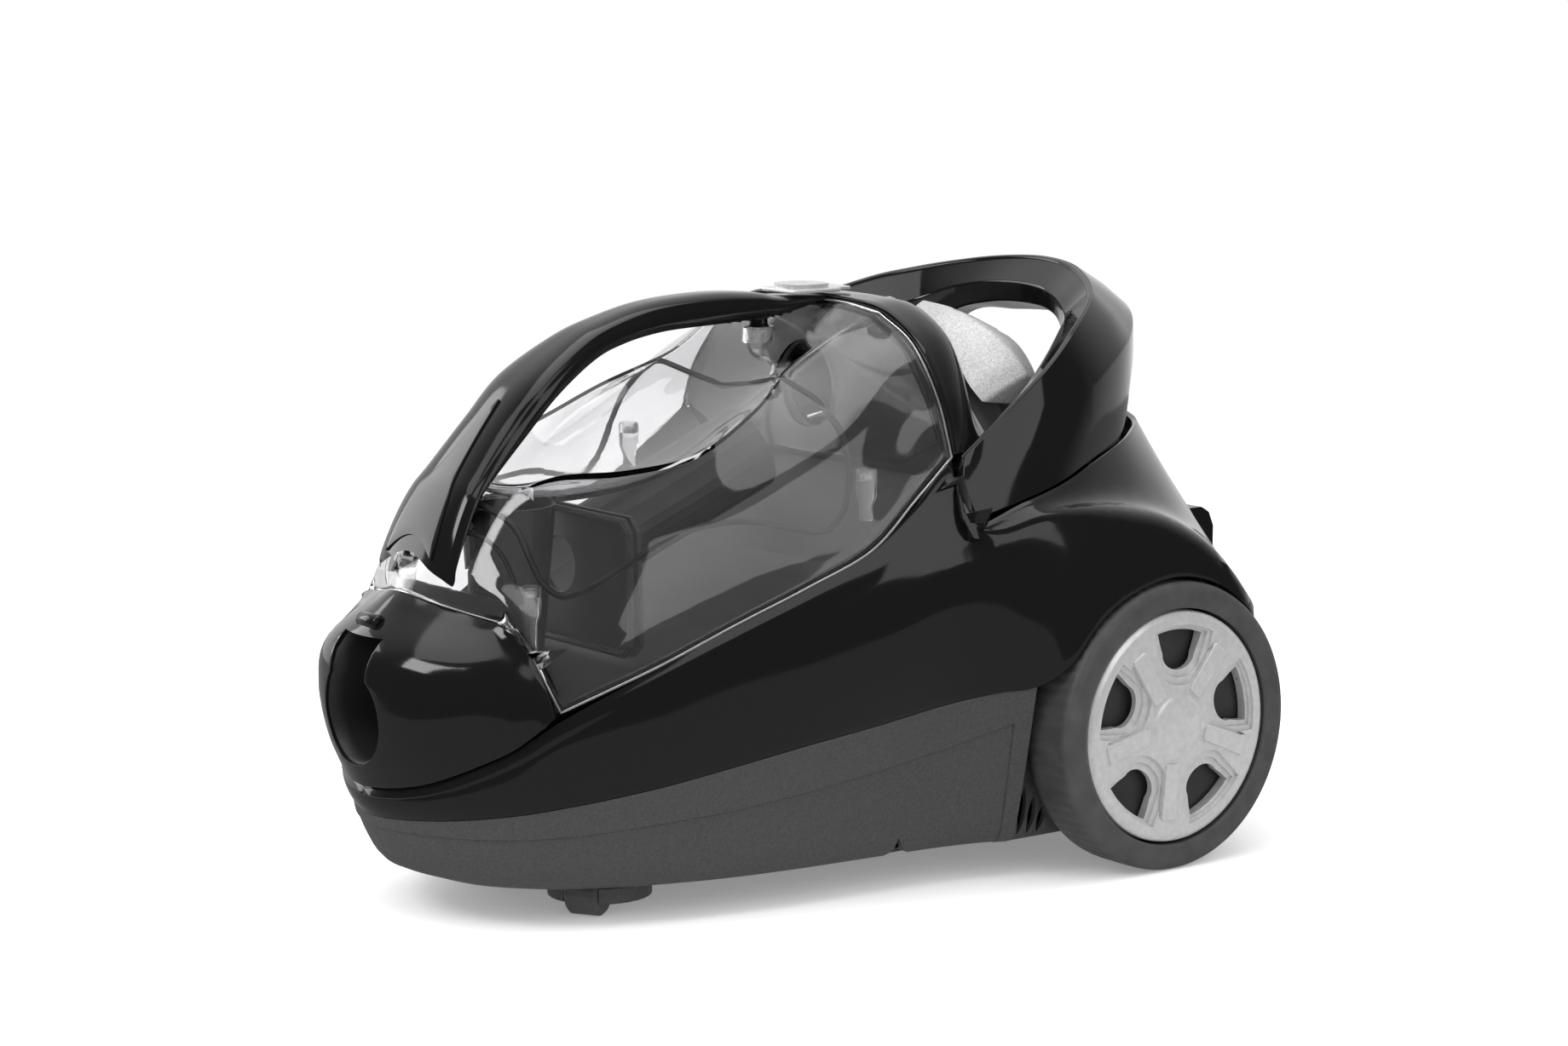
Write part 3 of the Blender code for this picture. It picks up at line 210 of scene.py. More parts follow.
class Shading:
    """One procedural material: short calls add nodes and link them."""

    def __init__(self, name, colour, roughness, metallic=0.0, **constants):
        self.material = bpy.data.materials.new(name)
        self.material.use_nodes = True
        self.tree = self.material.node_tree
        self.shader = self.tree.nodes["Principled BSDF"]
        self.shader.inputs["Base Color"].default_value = (*colour, 1)
        self.shader.inputs["Roughness"].default_value = roughness
        self.shader.inputs["Metallic"].default_value = metallic
        for socket, value in constants.items():
            self.shader.inputs[socket.replace("_", " ")].default_value = value
        self.place = self.node("ShaderNodeTexCoord").outputs["Object"]
        self.height = None

    def node(self, kind, **settings):
        made = self.tree.nodes.new(kind)
        for key, value in settings.items():
            setattr(made, key, value)
        return made

    def link(self, source, node, socket):
        self.tree.links.new(source, node.inputs[socket])

    def noise(self, scale, detail=3.0, rough=0.5, stretch=None):
        tex = self.node("ShaderNodeTexNoise")
        tex.inputs["Scale"].default_value = scale
        tex.inputs["Detail"].default_value = detail
        tex.inputs["Roughness"].default_value = rough
        self.link(self.stretched(stretch), tex, "Vector")
        return tex.outputs["Fac"]

    def voronoi(self, scale, feature="F1", output="Distance"):
        tex = self.node("ShaderNodeTexVoronoi", feature=feature)
        tex.inputs["Scale"].default_value = scale
        self.link(self.place, tex, "Vector")
        return tex.outputs[output]

    def wave(self, scale, direction):
        tex = self.node("ShaderNodeTexWave", bands_direction=direction)
        tex.inputs["Scale"].default_value = scale
        self.link(self.place, tex, "Vector")
        return tex.outputs["Fac"]

    def stretched(self, stretch):
        if stretch is None:
            return self.place
        mapping = self.node("ShaderNodeMapping")
        mapping.inputs["Scale"].default_value = stretch
        self.link(self.place, mapping, "Vector")
        return mapping.outputs["Vector"]

    def ramp(self, source, low, high, start=0.0, end=1.0):
        """Map a 0..1 value between start and end onto low..high, clamped."""
        node = self.node("ShaderNodeMapRange")
        self.link(source, node, "Value")
        set_range(node, start, end, low, high)
        return node.outputs["Result"]

    def tint(self, source, dark, light, start=0.0, end=1.0):
        """Base colour that runs from dark to light with a 0..1 value."""
        node = self.node("ShaderNodeValToRGB")
        node.color_ramp.elements[0].position = start
        node.color_ramp.elements[0].color = (*dark, 1)
        node.color_ramp.elements[1].position = end
        node.color_ramp.elements[1].color = (*light, 1)
        self.link(source, node, "Fac")
        self.tree.links.new(node.outputs["Color"], self.shader.inputs["Base Color"])
        return self

    def rough(self, source, low, high, start=0.0, end=1.0):
        self.tree.links.new(self.ramp(source, low, high, start, end), self.shader.inputs["Roughness"])
        return self

    def bump(self, source, depth, strength=1.0):
        """Stack a bump whose full height is depth in metres."""
        node = self.node("ShaderNodeBump")
        node.inputs["Strength"].default_value = strength
        node.inputs["Distance"].default_value = depth
        self.link(source, node, "Height")
        if self.height:
            self.link(self.height, node, "Normal")
        self.height = node.outputs["Normal"]
        self.tree.links.new(self.height, self.shader.inputs["Normal"])
        return self


def grey(value):
    return (value, value, value * 1.01)


def gloss_black():
    """Injection-moulded gloss plastic: deep black, faint flow ripple, fine dust and handling haze."""
    look = Shading("gloss_black", grey(0.006), 0.10, Coat_Weight=0.12, Coat_Roughness=0.03,
                   Specular_IOR_Level=0.42)
    haze = look.noise(14, 4, 0.6)
    look.rough(haze, 0.06, 0.15, 0.35, 0.8)
    dust = look.voronoi(420)
    look.tint(dust, grey(0.020), grey(0.0062), 0.0, 0.035)
    look.bump(look.noise(55, 2), 0.00010, 0.25)
    return look.bump(look.noise(1500, 2), 0.000012, 0.5).material


def grain_grey():
    """Charcoal plastic with a moulded leather grain."""
    look = Shading("grain_grey", grey(0.075), 0.5)
    cells = look.voronoi(760, "SMOOTH_F1")
    wrinkle = look.noise(520, 6, 0.65)
    look.tint(look.noise(900, 4), grey(0.038), grey(0.058), 0.3, 0.7)
    look.rough(wrinkle, 0.42, 0.62)
    look.bump(cells, 0.00022, 0.55)
    return look.bump(wrinkle, 0.00016, 0.6).material


def silver_flake():
    """Silver paint with visible metal flakes over plastic."""
    look = Shading("silver_flake", grey(0.3), 0.45, 0.35, Coat_Weight=0.15, Coat_Roughness=0.2)
    flakes = look.voronoi(2600, output="Color")
    look.tint(flakes, grey(0.34), grey(0.62), 0.15, 0.85)
    look.rough(look.noise(2000, 2), 0.24, 0.5)
    return look.bump(look.noise(1800, 3), 0.00005, 0.45).material


def silver_satin():
    """Smoother silver paint of the wheel caps and the latch."""
    look = Shading("silver_satin", grey(0.6), 0.3, 0.5, Coat_Weight=0.2, Coat_Roughness=0.1)
    look.tint(look.noise(320, 3), grey(0.60), grey(0.69), 0.3, 0.7)
    look.rough(look.noise(60, 2), 0.27, 0.34, 0.3, 0.75)
    return look.bump(look.noise(900, 2), 0.000006, 0.3).material


def smoke_clear():
    """Clear, lightly smoked bin plastic with flow lines and fine scuffs."""
    look = Shading("smoke_clear", grey(0.84), 0.02, Transmission_Weight=1.0, IOR=1.46)
    streaks = look.noise(26, 5, 0.6, (1, 0.12, 1))
    look.rough(streaks, 0.0, 0.10, 0.45, 0.85)
    look.tint(look.noise(18, 3), grey(0.78), grey(0.90), 0.3, 0.7)
    return look.bump(look.noise(34, 3, 0.5, (1, 0.3, 1)), 0.00035, 0.3).material


def clear_bright():
    """Clearer plastic of the bin's thick rim."""
    look = Shading("clear_bright", grey(0.90), 0.04, Transmission_Weight=0.9, IOR=1.49)
    look.rough(look.noise(120, 2), 0.02, 0.12)
    return look.bump(look.noise(90, 2), 0.0001, 0.3).material


def tyre_rubber():
    """Dark grey rubber with turning marks on its face and a film of dust."""
    look = Shading("tyre_rubber", grey(0.055), 0.55)
    look.tint(look.noise(90, 5, 0.6), grey(0.043), grey(0.062), 0.35, 0.75)
    look.rough(look.noise(240, 3), 0.40, 0.62)
    return look.bump(look.noise(1400, 3), 0.00005, 0.5).material


def seal_rubber():
    look = Shading("seal_rubber", grey(0.015), 0.6)
    look.rough(look.noise(300, 3), 0.45, 0.7)
    return look.bump(look.noise(900, 3), 0.00006, 0.5).material


def inner_grey(name="inner_grey", low=0.028, high=0.045):
    """Plain moulded inner parts: fine spark-eroded texture."""
    look = Shading(name, grey((low + high) / 2), 0.5)
    look.tint(look.noise(60, 4), grey(low), grey(high), 0.3, 0.7)
    look.rough(look.noise(700, 2), 0.36, 0.58)
    return look.bump(look.noise(1600, 2), 0.00005, 0.5).material


def steel():
    look = Shading("steel", grey(0.52), 0.3, 1.0)
    brushed = look.noise(400, 3, 0.6, (0.06, 1, 1))
    look.rough(brushed, 0.2, 0.42)
    return look.bump(brushed, 0.00003, 0.5).material


def copper():
    look = Shading("copper", (0.55, 0.27, 0.13), 0.35, 1.0)
    wires_and_shade = look.wave(420, "Y")
    # painted shade: the tint runs dark in the grooves between the windings and light on their crowns, on
    # the same waves as the bump
    look.tint(wires_and_shade, (0.30, 0.12, 0.05), (0.66, 0.34, 0.17))
    return look.bump(wires_and_shade, 0.0003, 0.8).material


def foam():
    look = Shading("foam", grey(0.42), 0.95, Sheen_Weight=0.3)
    pores_and_shade = look.voronoi(900, "DISTANCE_TO_EDGE")
    # painted shade: the tint is darkest in the sunk lines between the cells, following the same pattern as
    # the bump
    look.tint(pores_and_shade, grey(0.20), grey(0.50), 0.0, 0.3)
    return look.bump(pores_and_shade, 0.0004, 0.9).material


def filter_paper():
    look = Shading("filter_paper", grey(0.70), 0.9)
    pleats_and_shade = look.wave(150, "X")
    # painted shade: the tint is darkest in the troughs of the pleats and lightest on their tops, on the
    # same waves as the bump
    look.tint(pleats_and_shade, grey(0.48), grey(0.76))
    return look.bump(pleats_and_shade, 0.0012, 0.9).material


def circuit_board():
    look = Shading("circuit_board", (0.02, 0.13, 0.06), 0.4)
    look.tint(look.voronoi(260, output="Color"), (0.012, 0.09, 0.04), (0.03, 0.17, 0.08), 0.3, 0.7)
    return look.bump(look.voronoi(260, "DISTANCE_TO_EDGE"), 0.0002, 0.5).material


LOOKS = {
    "gloss_black": gloss_black(), "matte_grey": grain_grey(), "silver": silver_satin(),
    "flake": silver_flake(), "smoke_clear": smoke_clear(), "clear_rim": clear_bright(),
    "tyre_rubber": tyre_rubber(),
    "seal_rubber": seal_rubber(), "inner_grey": inner_grey(), "steel": steel(), "copper": copper(),
    "foam": foam(), "white_filter": filter_paper(), "board_green": circuit_board(),
    "wheel_black": inner_grey("wheel_black", 0.022, 0.034),
    "bin_dark": inner_grey("bin_dark", 0.010, 0.022),
}


# ---------------------------------------------------------------- curves through stations
def catmull(p0, p1, p2, p3, t):
    """Point at t between p1 and p2 on a smooth curve through four points."""
    a = 2 * p1
    b = p2 - p0
    c = 2 * p0 - 5 * p1 + 4 * p2 - p3
    d = 3 * p1 - p0 - 3 * p2 + p3
    return (a + b * t + c * t * t + d * t ** 3) / 2


def smooth(points, steps, start="free", end="free"):
    """Smooth row of points through the given ones; a mirror end leaves X = 0 squarely."""
    pts = np.asarray(points, dtype=float)
    flip = np.ones(pts.shape[-1])
    flip[0] = -1
    first = pts[1] * flip if start == "mirror" else 2 * pts[0] - pts[1]
    last = pts[-2] * flip if end == "mirror" else 2 * pts[-1] - pts[-2]
    padded = np.concatenate([[first], pts, [last]])
    rows = [catmull(*padded[i:i + 4], k / steps) for i in range(len(pts) - 1) for k in range(steps)]
    rows.append(pts[-1])
    return np.array(rows)


def across(grid, steps, start="free", end="free"):
    """Smooth a grid along its second axis."""
    return smooth(grid.transpose(1, 0, 2), steps, start, end).transpose(1, 0, 2)


# ---------------------------------------------------------------- pieces
def new_object(name, mesh, look, body, replaces=()):
    """A finished piece: material, body and record slot."""
    obj = bpy.data.objects.new(name, mesh)
    bpy.context.scene.collection.objects.link(obj)
    mesh.materials.clear()
    mesh.materials.append(LOOKS[look])
    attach(obj, body)
    if replaces:
        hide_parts(*replaces)
    return obj


def soften(obj, angle):
    """Shade smooth, but keep edges sharper than the angle crisp."""
    for poly in obj.data.polygons:
        poly.use_smooth = True
    obj.data.set_sharp_from_angle(angle=math.radians(angle))


def round_edges(obj, width, segments, angle):
    mod = obj.modifiers.new("edges", "BEVEL")
    mod.width = width * MM
    mod.segments = segments
    mod.limit_method = "ANGLE"
    mod.angle_limit = math.radians(angle)
    return obj


@contextmanager
def editing(mesh):
    """Open a mesh for bmesh work and write it back at the end."""
    bm = bmesh.new()
    bm.from_mesh(mesh)
    yield bm
    bm.to_mesh(mesh)
    bm.free()


def grid_mesh(name, grid, flip=False, closed=False):
    """Quads over a grid of points in millimetres; closed joins the last column to the first."""
    rows, cols = grid.shape[:2]
    faces = []
    for i in range(rows - 1):
        for j in range(cols if closed else cols - 1):
            k = (j + 1) % cols
            quad = (i * cols + j, i * cols + k, (i + 1) * cols + k, (i + 1) * cols + j)
            faces.append(quad[::-1] if flip else quad)
    mesh = bpy.data.meshes.new(name)
    mesh.from_pydata((grid.reshape(-1, 3) * MM).tolist(), [], faces)
    with editing(mesh) as bm:
        bmesh.ops.remove_doubles(bm, verts=bm.verts, dist=WELD * MM)
        bmesh.ops.dissolve_degenerate(bm, edges=bm.edges, dist=WELD * MM)
    return mesh


def mirrored(obj):
    mod = obj.modifiers.new("other_side", "MIRROR")
    mod.merge_threshold = 0.01 * MM


def walled(obj, thickness, offset=-1, even=False):
    wall = obj.modifiers.new("wall", "SOLIDIFY")
    wall.thickness = thickness * MM
    wall.offset = offset
    wall.use_even_offset = even


def skin(name, grid, look, body, replaces, thickness=SHELL_T):
    """Moulded shell: half surface, mirrored and given its wall."""
    obj = new_object(name, grid_mesh(name, grid, True), look, body, replaces=replaces)
    mirrored(obj)
    walled(obj, thickness, even=True)
    soften(obj, 40)
    return obj


def settle(obj):
    """Apply the modifiers, so later steps work on the final mesh."""
    evaluated = obj.evaluated_get(bpy.context.evaluated_depsgraph_get())
    mesh = bpy.data.meshes.new_from_object(evaluated)
    obj.modifiers.clear()
    obj.data = mesh


def on_axis(axis, u, v, w):
    """Point at w along an axis and at u, v across it."""
    return {"X": (w, u, v), "Y": (u, w, v), "Z": (u, v, w)}[axis]


def prism_mesh(outline, low, high, axis):
    """Closed prism of an outline (u, v), from low to high along an axis, in millimetres."""
    mesh = bpy.data.meshes.new("prism")
    with editing(mesh) as bm:
        base = bm.faces.new([bm.verts.new(Vector(on_axis(axis, u, v, low)) * MM) for u, v in outline])
        moved = bmesh.ops.extrude_face_region(bm, geom=[base])["geom"]
        verts = [part for part in moved if isinstance(part, bmesh.types.BMVert)]
        bmesh.ops.translate(bm, verts=verts, vec=Vector(on_axis(axis, 0, 0, high - low)) * MM)
        bmesh.ops.recalc_face_normals(bm, faces=bm.faces)
    return mesh


def prism(outline, low, high, axis):
    """Hidden cutter in the shape of a prism."""
    obj = bpy.data.objects.new("cutter", prism_mesh(outline, low, high, axis))
    bpy.context.scene.collection.objects.link(obj)
    obj.hide_render = True
    return obj


def carve(obj, cutters):
    """Cut the cutters out of a piece for good."""
    for cutter in cutters:
        mod = obj.modifiers.new("cut", "BOOLEAN")
        mod.operation = "DIFFERENCE"
        mod.object = cutter
        mod.solver = "EXACT"
    bpy.context.view_layer.update()
    settle(obj)
    for cutter in cutters:
        bpy.data.objects.remove(cutter, do_unlink=True)


def merge_flats(obj):
    """Join the flat facets left by the cuts, so rounded edges stay clean."""
    with editing(obj.data) as bm:
        bmesh.ops.remove_doubles(bm, verts=bm.verts, dist=0.02 * MM)
        bmesh.ops.dissolve_limit(bm, angle_limit=math.radians(0.6), verts=bm.verts, edges=bm.edges)


def tube(name, pts, radius, look, body, closed=False, sides=8):
    """Round bead along points in millimetres."""
    n = len(pts)
    rings = []
    up = np.array((0.0, 0.0, 1.0))
    for i in range(n):
        before = pts[(i - 1) % n] if closed or i else pts[0]
        after = pts[(i + 1) % n] if closed or i < n - 1 else pts[-1]
        run = (after - before) / np.linalg.norm(after - before)
        side = np.cross(run, up)
        if np.linalg.norm(side) < 0.05:
            side = np.cross(run, (0.0, 1.0, 0.0))
        side /= np.linalg.norm(side)
        top = np.cross(side, run)
        rings.append([pts[i] + radius * (math.cos(a) * side + math.sin(a) * top)
                      for a in np.linspace(0, math.tau, sides, endpoint=False)])
    mesh = grid_mesh(name, np.array(rings + [rings[0]] if closed else rings), False, True)
    if not closed:
        with editing(mesh) as bm:
            bmesh.ops.holes_fill(bm, edges=bm.edges, sides=sides)
    soften(new_object(name, mesh, look, body), 60)


def circle(u, v, radius, sides=48):
    return [(u + radius * math.cos(a), v + radius * math.sin(a))
            for a in np.linspace(0, math.tau, sides, endpoint=False)]


def turned(name, profile, centre, axis, look, body, sides=48, ring=False, replaces=()):
    """Turn a profile of (radius, height) about an axis through centre; a ring's profile is a loop."""
    rings = [[on_axis(axis, u, v, h) for u, v in circle(0, 0, r, sides)] for r, h in profile]
    if ring:
        rings.append(rings[0])
    mesh = grid_mesh(name, np.array(rings) + np.array(centre), False, True)
    with editing(mesh) as bm:
        bmesh.ops.recalc_face_normals(bm, faces=bm.faces)
    obj = new_object(name, mesh, look, body, replaces=replaces)
    soften(obj, 40)
    return obj


def block(name, low, high, look, body, bevel, replaces=(), turn=0):
    """Moulded block with rounded edges; turn leans it back about X, in degrees."""
    low, high = Vector(low) * MM, Vector(high) * MM
    mesh = bpy.data.meshes.new(name)
    with editing(mesh) as bm:
        bmesh.ops.create_cube(bm, size=1.0)
        bmesh.ops.scale(bm, verts=bm.verts, vec=high - low)
        bmesh.ops.rotate(bm, verts=bm.verts, matrix=Matrix.Rotation(math.radians(turn), 3, "X"))
        bmesh.ops.translate(bm, verts=bm.verts, vec=(low + high) / 2)
        bmesh.ops.bevel(bm, geom=bm.edges, offset=bevel * MM, segments=3, profile=0.6, affect="EDGES")
    soften(new_object(name, mesh, look, body, replaces=replaces), 40)


# ---------------------------------------------------------------- hull
def heights(column, levels):
    """Resample one column of a shell at the given heights."""
    return np.stack([np.interp(levels, column[:, 2], column[:, k]) for k in (0, 1, 2)], axis=1)


def outward(grid):
    """Horizontal outward direction at every point of a grid whose first axis runs nose to tail."""
    run = np.gradient(grid, axis=0)
    side = np.stack([-run[..., 1], run[..., 0], np.zeros(run.shape[:2])], axis=-1)
    side *= -1 / np.maximum(np.linalg.norm(side, axis=-1, keepdims=True), 1e-6)
    return side


def lower_front():
    """Front and side of the lower shell, its side panel set back under a crisp step."""
    depth, rear_edge = 0.9, 9.52
    columns = smooth(LOWER_STATIONS, 8, "mirror")
    at = np.linspace(0, len(LOWER_STATIONS) - 1, len(columns))
    tops = np.interp(at, np.arange(len(PANEL_TOP)), PANEL_TOP)
    places = np.sort(np.concatenate([at, (rear_edge, rear_edge + 0.04)]))
    fine = []
    for place in places:
        column = [[np.interp(place, at, columns[:, row, k]) for k in range(3)] for row in range(4)]
        top = np.interp(place, at, tops)
        low = np.concatenate([(17, 18.5, 20.5, 23), np.linspace(27, top - 0.45, 7)])
        high = np.linspace(top + 0.05, column[-1][2], 6)
        fine.append(heights(smooth(column, 8), np.concatenate([low, high])))
    grid = np.array(fine)
    inset = outward(grid) * depth
    inset[:, len(low):] = 0
    inset[places > rear_edge + 0.01] = 0
    return grid - inset


def wheel_well(rows):
    """Inner wall beside the wheel: straight up to the fender."""
    walls = []
    for y, top in ((50.5, 132), (75, 146), (122, 146), (165, 132), (194.5, 92)):
        column = np.array(((106.5, y, FLOOR_EDGE), (108.5, y, 23), (108.5, y, top)))
        walls.append(heights(column, np.linspace(FLOOR_EDGE, top, rows)))
    return np.array(walls)


def lower_shell():
    front = lower_front()
    rows = front.shape[1]
    tail = smooth(LOWER_TAIL, 6, "free", "mirror")
    tail = [heights(smooth(c, 6), np.linspace(FLOOR_EDGE, c[-1, 2], rows)) for c in tail]
    columns = np.concatenate([front, wheel_well(rows), tail])
    keel = columns[:, :1] * np.array((0.0, 1.0, 1.0))
    grid = np.concatenate([keel, columns], axis=1)
    obj = skin("body_lower", grid, "matte_grey", "chassis", ("lower_shell",))
    settle(obj)
    carve(obj, underside_holes() + vent_slots() + notches())
    round_edges(obj, 0.35, 2, 55)


def underside_holes():
    """Holes for the cord's bush at the tail, for the casters and for the stub axles."""
    low, high = corners("caster_cup_left")
    cup_r = (high[0] - low[0]) / 2
    x, y, _ = centre("caster_cup_left")
    bush_x, _, bush_z = centre("cord_outlet")
    cutters = [prism(circle(bush_x, bush_z, 8.6), 205, 235, "Y")]
    for side, _ in SIDES:
        cutters.append(prism(circle(side * x, y, cup_r - 2.4), 5, 27, "Z"))
        cutters.append(prism(circle(AXLE_Y, WHEEL_R, 7), side * 104, side * 113, "X"))
    return cutters


def leaf(base, tip, width, steps=10):
    """Slim pointed outline from base to tip."""
    base, tip = np.array(base, float), np.array(tip, float)
    run = tip - base
    side = np.array((-run[1], run[0])) / np.linalg.norm(run)
    out = []
    for sign, order in ((1, range(steps)), (-1, range(steps, 0, -1))):
        for k in order:
            t = k / steps
            out.append(tuple(base + run * t + sign * side * width * math.sin(math.pi * t) ** 0.8))
    return out


def vent_slots():
    """Slanted air slots in the flare ahead of each wheel."""
    cutters = []
    for side, _ in SIDES:
        for k in range(3):
            outline = leaf((60 + 5.5 * k, 42 - 5 * k), (56 + 6 * k, 19), 2.2)
            cutters.append(prism(outline, side * 105, side * 111, "X"))
    return cutters


def notches():
    """Drop-shaped finger notch in the lower edge of each side panel."""
    outline = [(-13, 16), (-11, 19), (-9, 23), (-8, 26), (-6.5, 23), (-4, 19), (3, 16)]
    return [prism(outline, side * 92, side * 106, "X") for side, _ in SIDES]


def along_length(points, places):
    """Points of a line at the distances from its start that places gives for its length."""
    steps = np.linalg.norm(np.diff(points, axis=0), axis=1)
    length = np.concatenate([[0], np.cumsum(steps)])
    at = places(length[-1])
    return np.stack([np.interp(at, length, points[:, k]) for k in range(3)], axis=1)


def folded(columns, rows=17, fold=4.8, lift=0.7):
    """Even rows up to a folded strip along the hull's upper edge, which fades out at the wheel."""
    def spread(length):
        strip = min(fold, length * 0.3)
        even = np.linspace(0, length - strip, rows)
        return np.concatenate([even, [length - strip * 0.45, length]])

    grid = np.array([along_length(column, spread) for column in columns])
    last = len(UPPER_STATIONS + FENDER_STATIONS) - 1
    end, fade = 10.4, 0.8
    amount = np.clip((end - np.linspace(0, last, len(columns))) / fade, 0, 1)[:, None]
    side = outward(grid)
    grid[:, rows - 1] += side[:, rows - 1] * lift * amount
    grid[:, rows] += side[:, rows] * lift * 0.45 * amount
    return grid


def upper_shell():
    along = smooth(UPPER_STATIONS + FENDER_STATIONS, 6, "mirror", "mirror")
    obj = skin("body_upper", folded(across(along, 4)), "gloss_black", "chassis", ("upper_shell",))
    settle(obj)
    low, high = corners("exhaust_filter")
    window = [(-40, 96), (40, 96), (40, 142), (-40, 142)]
    carve(obj, [prism(window, low[1] + 4, high[1] + 34, "Y")])
    round_edges(obj, 0.35, 2, 50)


def keyhole():
    """Outline of the hose opening: a round mouth with a neck for the hose's catch."""
    neck_foot = 111
    start = math.asin((neck_foot - INLET_Z) / INLET_R)
    arc = [(INLET_R * math.cos(a), INLET_Z + INLET_R * math.sin(a))
           for a in np.linspace(start, -math.pi - start, 56)]
    neck = [(-14.6, 114), (-15.4, 120), (-16, 129), (16, 129), (15.4, 120), (14.6, 114)]
    return arc + neck


def inlet_tunnel(nose):
    """Dark duct from the keyhole back to the bin, starting just under the nose's skin."""
    nose_low, nose_high = corners("nose_cover")
    around, look_from, under_skin = 1.012, 1.042, 1.2
    front = []
    for x, z in keyhole():
        height = z - INLET_Z
        start = Vector((x * look_from, nose_low[1] - 50, INLET_Z + height * look_from)) * MM
        hit, place, _, _ = nose.ray_cast(start, Vector((0, 1, 0)))
        y = place.y / MM if hit else nose_high[1] - 40
        front.append((x * around, y + under_skin, INLET_Z + height * around))
    front = np.array(front)
    back = front.copy()
    back[:, 1] = corners("inlet_socket")[1][1]
    grid = np.linspace(front, back, 8)
    mesh = grid_mesh("inlet_tunnel", grid, False, True)
    obj = new_object("inlet_tunnel", mesh, "seal_rubber", "chassis", ("inlet_socket",))
    walled(obj, 1.2)
    soften(obj, 50)


def nose_cover():
    grid = across(smooth(NOSE_ROWS, 6), 6, "mirror")
    obj = skin("nose_cover_gloss", grid, "gloss_black", "chassis", ("nose_cover",))
    settle(obj)
    carve(obj, [prism(keyhole(), -245, -190, "Y")])
    round_edges(obj, 0.5, 3, 40)
    inlet_tunnel(obj)
    pin = ((0, -7.5), (3.2, -7.5), (3.6, -7.0), (3.6, 7.0), (3.2, 7.5), (0, 7.5))
    catch = turned("hose_catch", pin, (0, -222.6, 134.2), "X", "gloss_black", "chassis", 40)
    socket = [(-224.4, 132.6), (-221.2, 132.6), (-221.2, 135.8), (-224.4, 135.8)]
    carve(catch, [prism(socket, side * 6.2, side * 9, "X") for side, _ in SIDES])
    round_edges(catch, 0.25, 2, 40)


# ---------------------------------------------------------------- clear bin
def bin_grid():
    """Fine surface of the bin cover: crisp along the rim of the scoop, soft elsewhere."""
    along = smooth(BIN_STATIONS, 7)
    split = np.concatenate([smooth(BIN_STATIONS[:3], 7)[:-1], smooth(BIN_STATIONS[2:], 7)])
    along[:, 0] = split[:, 0]
    along[:, 1] = (along[:, 1] + split[:, 1]) / 2
    wall = across(along[:, :4], 7)
    scoop = across(along[:, 3:], 7, "free", "mirror")
    return np.concatenate([wall, scoop[:, 1:]], axis=1)


def both_sides(path):
    """Line across both sides from its half at X >= 0, which ends at the middle."""
    return np.concatenate([path, path[-2::-1] * MIRROR])


def bin_cover():
    grid = bin_grid()
    cover = skin("bin_cover_clear", grid, "smoke_clear", "bin", ("bin_cover",), BIN_T)
    round_edges(cover, 0.3, 2, 50)
    rim = both_sides(np.concatenate([grid[5:-1, 0], grid[-1]]))
    tube("bin_rim_bead", rim, 0.55, "clear_rim", "bin")
    tube("bin_front_bead", both_sides(grid[0, 3::2]), 0.5, "clear_rim", "bin")
    middle = np.array((0.0, -85.0, 160.0))
    tube("bin_rim_seal", middle + (rim - middle) * 0.975, 1.0, "seal_rubber", "bin")


# Gasket under the clear cover, from the rear middle round to the front middle,
# and the short seal beside the hose's duct.
GASKET = (
    (0, -33, 226), (16, -33, 228.6), (48.5, -35, 234), (66, -33, 229.5), (77, -31.5, 224),
    (90, -31, 213.7), (97.2, -31.8, 200.8), (99.9, -34, 190.6), (101.7, -38.2, 180.6),
    (101.5, -47, 172.8), (99.2, -59.8, 173.8), (94, -76.4, 178), (88.8, -91.4, 179),
    (84.4, -108.4, 176.5), (81.6, -124.5, 170.9), (78.8, -140.5, 162.4), (74.3, -155.3, 154),
    (67.9, -165.5, 150.6), (60.2, -170.9, 156.5), (52.3, -172.7, 167.3), (45.8, -173.7, 176.2),
    (38.4, -175.8, 182.2), (20, -179, 187), (0, -180, 188),
)
FRONT_SEAL = ((20, -189, 176), (33.7, -183.5, 173.4), (43.2, -180.8, 166.9), (50.5, -180.3, 158.8),
              (54.5, -180, 153), (56.5, -179, 147))


def under_cover(points):
    """Smooth line just inside and below the given points of the cover."""
    return smooth(points, 6) * np.array((0.955, 1.0, 1.0)) - np.array((0.0, 0.0, 2.6))


def bin_details():
    """Seals and screw bosses seen through the clear cover."""
    tube("bin_gasket", both_sides(under_cover(GASKET))[:-1], 1.5, "seal_rubber", "bin", True)
    for side, label in SIDES:
        seal = under_cover(FRONT_SEAL) * np.array((side, 1.0, 1.0))
        tube(f"bin_front_seal_{label}", seal, 1.1, "seal_rubber", "bin")
        screw_post(f"front_{label}", (side * 53, -174, 152), 122)
        screw_post(f"rear_{label}", (side * 93, -22, 195), 172)


def screw_post(label, top, foot):
    """Clear boss with a sunk screw at its top."""
    x, y, z = top
    boss = ((0, foot - z), (3.2, foot - z), (3.2, -16), (4.6, -12), (4.8, -1), (4.4, 0), (3.4, 0),
            (3.2, -5), (0, -5))
    turned(f"boss_{label}", boss, (x, y, z), "Z", "clear_rim", "bin", 40)
    head = ((0, -4.6), (2.8, -4.6), (2.8, -3.4), (2.3, -2.8), (1.1, -2.7), (0.9, -3.4), (0, -3.5))
    turned(f"screw_{label}", head, (x, y, z), "Z", "steel", "bin", 32)


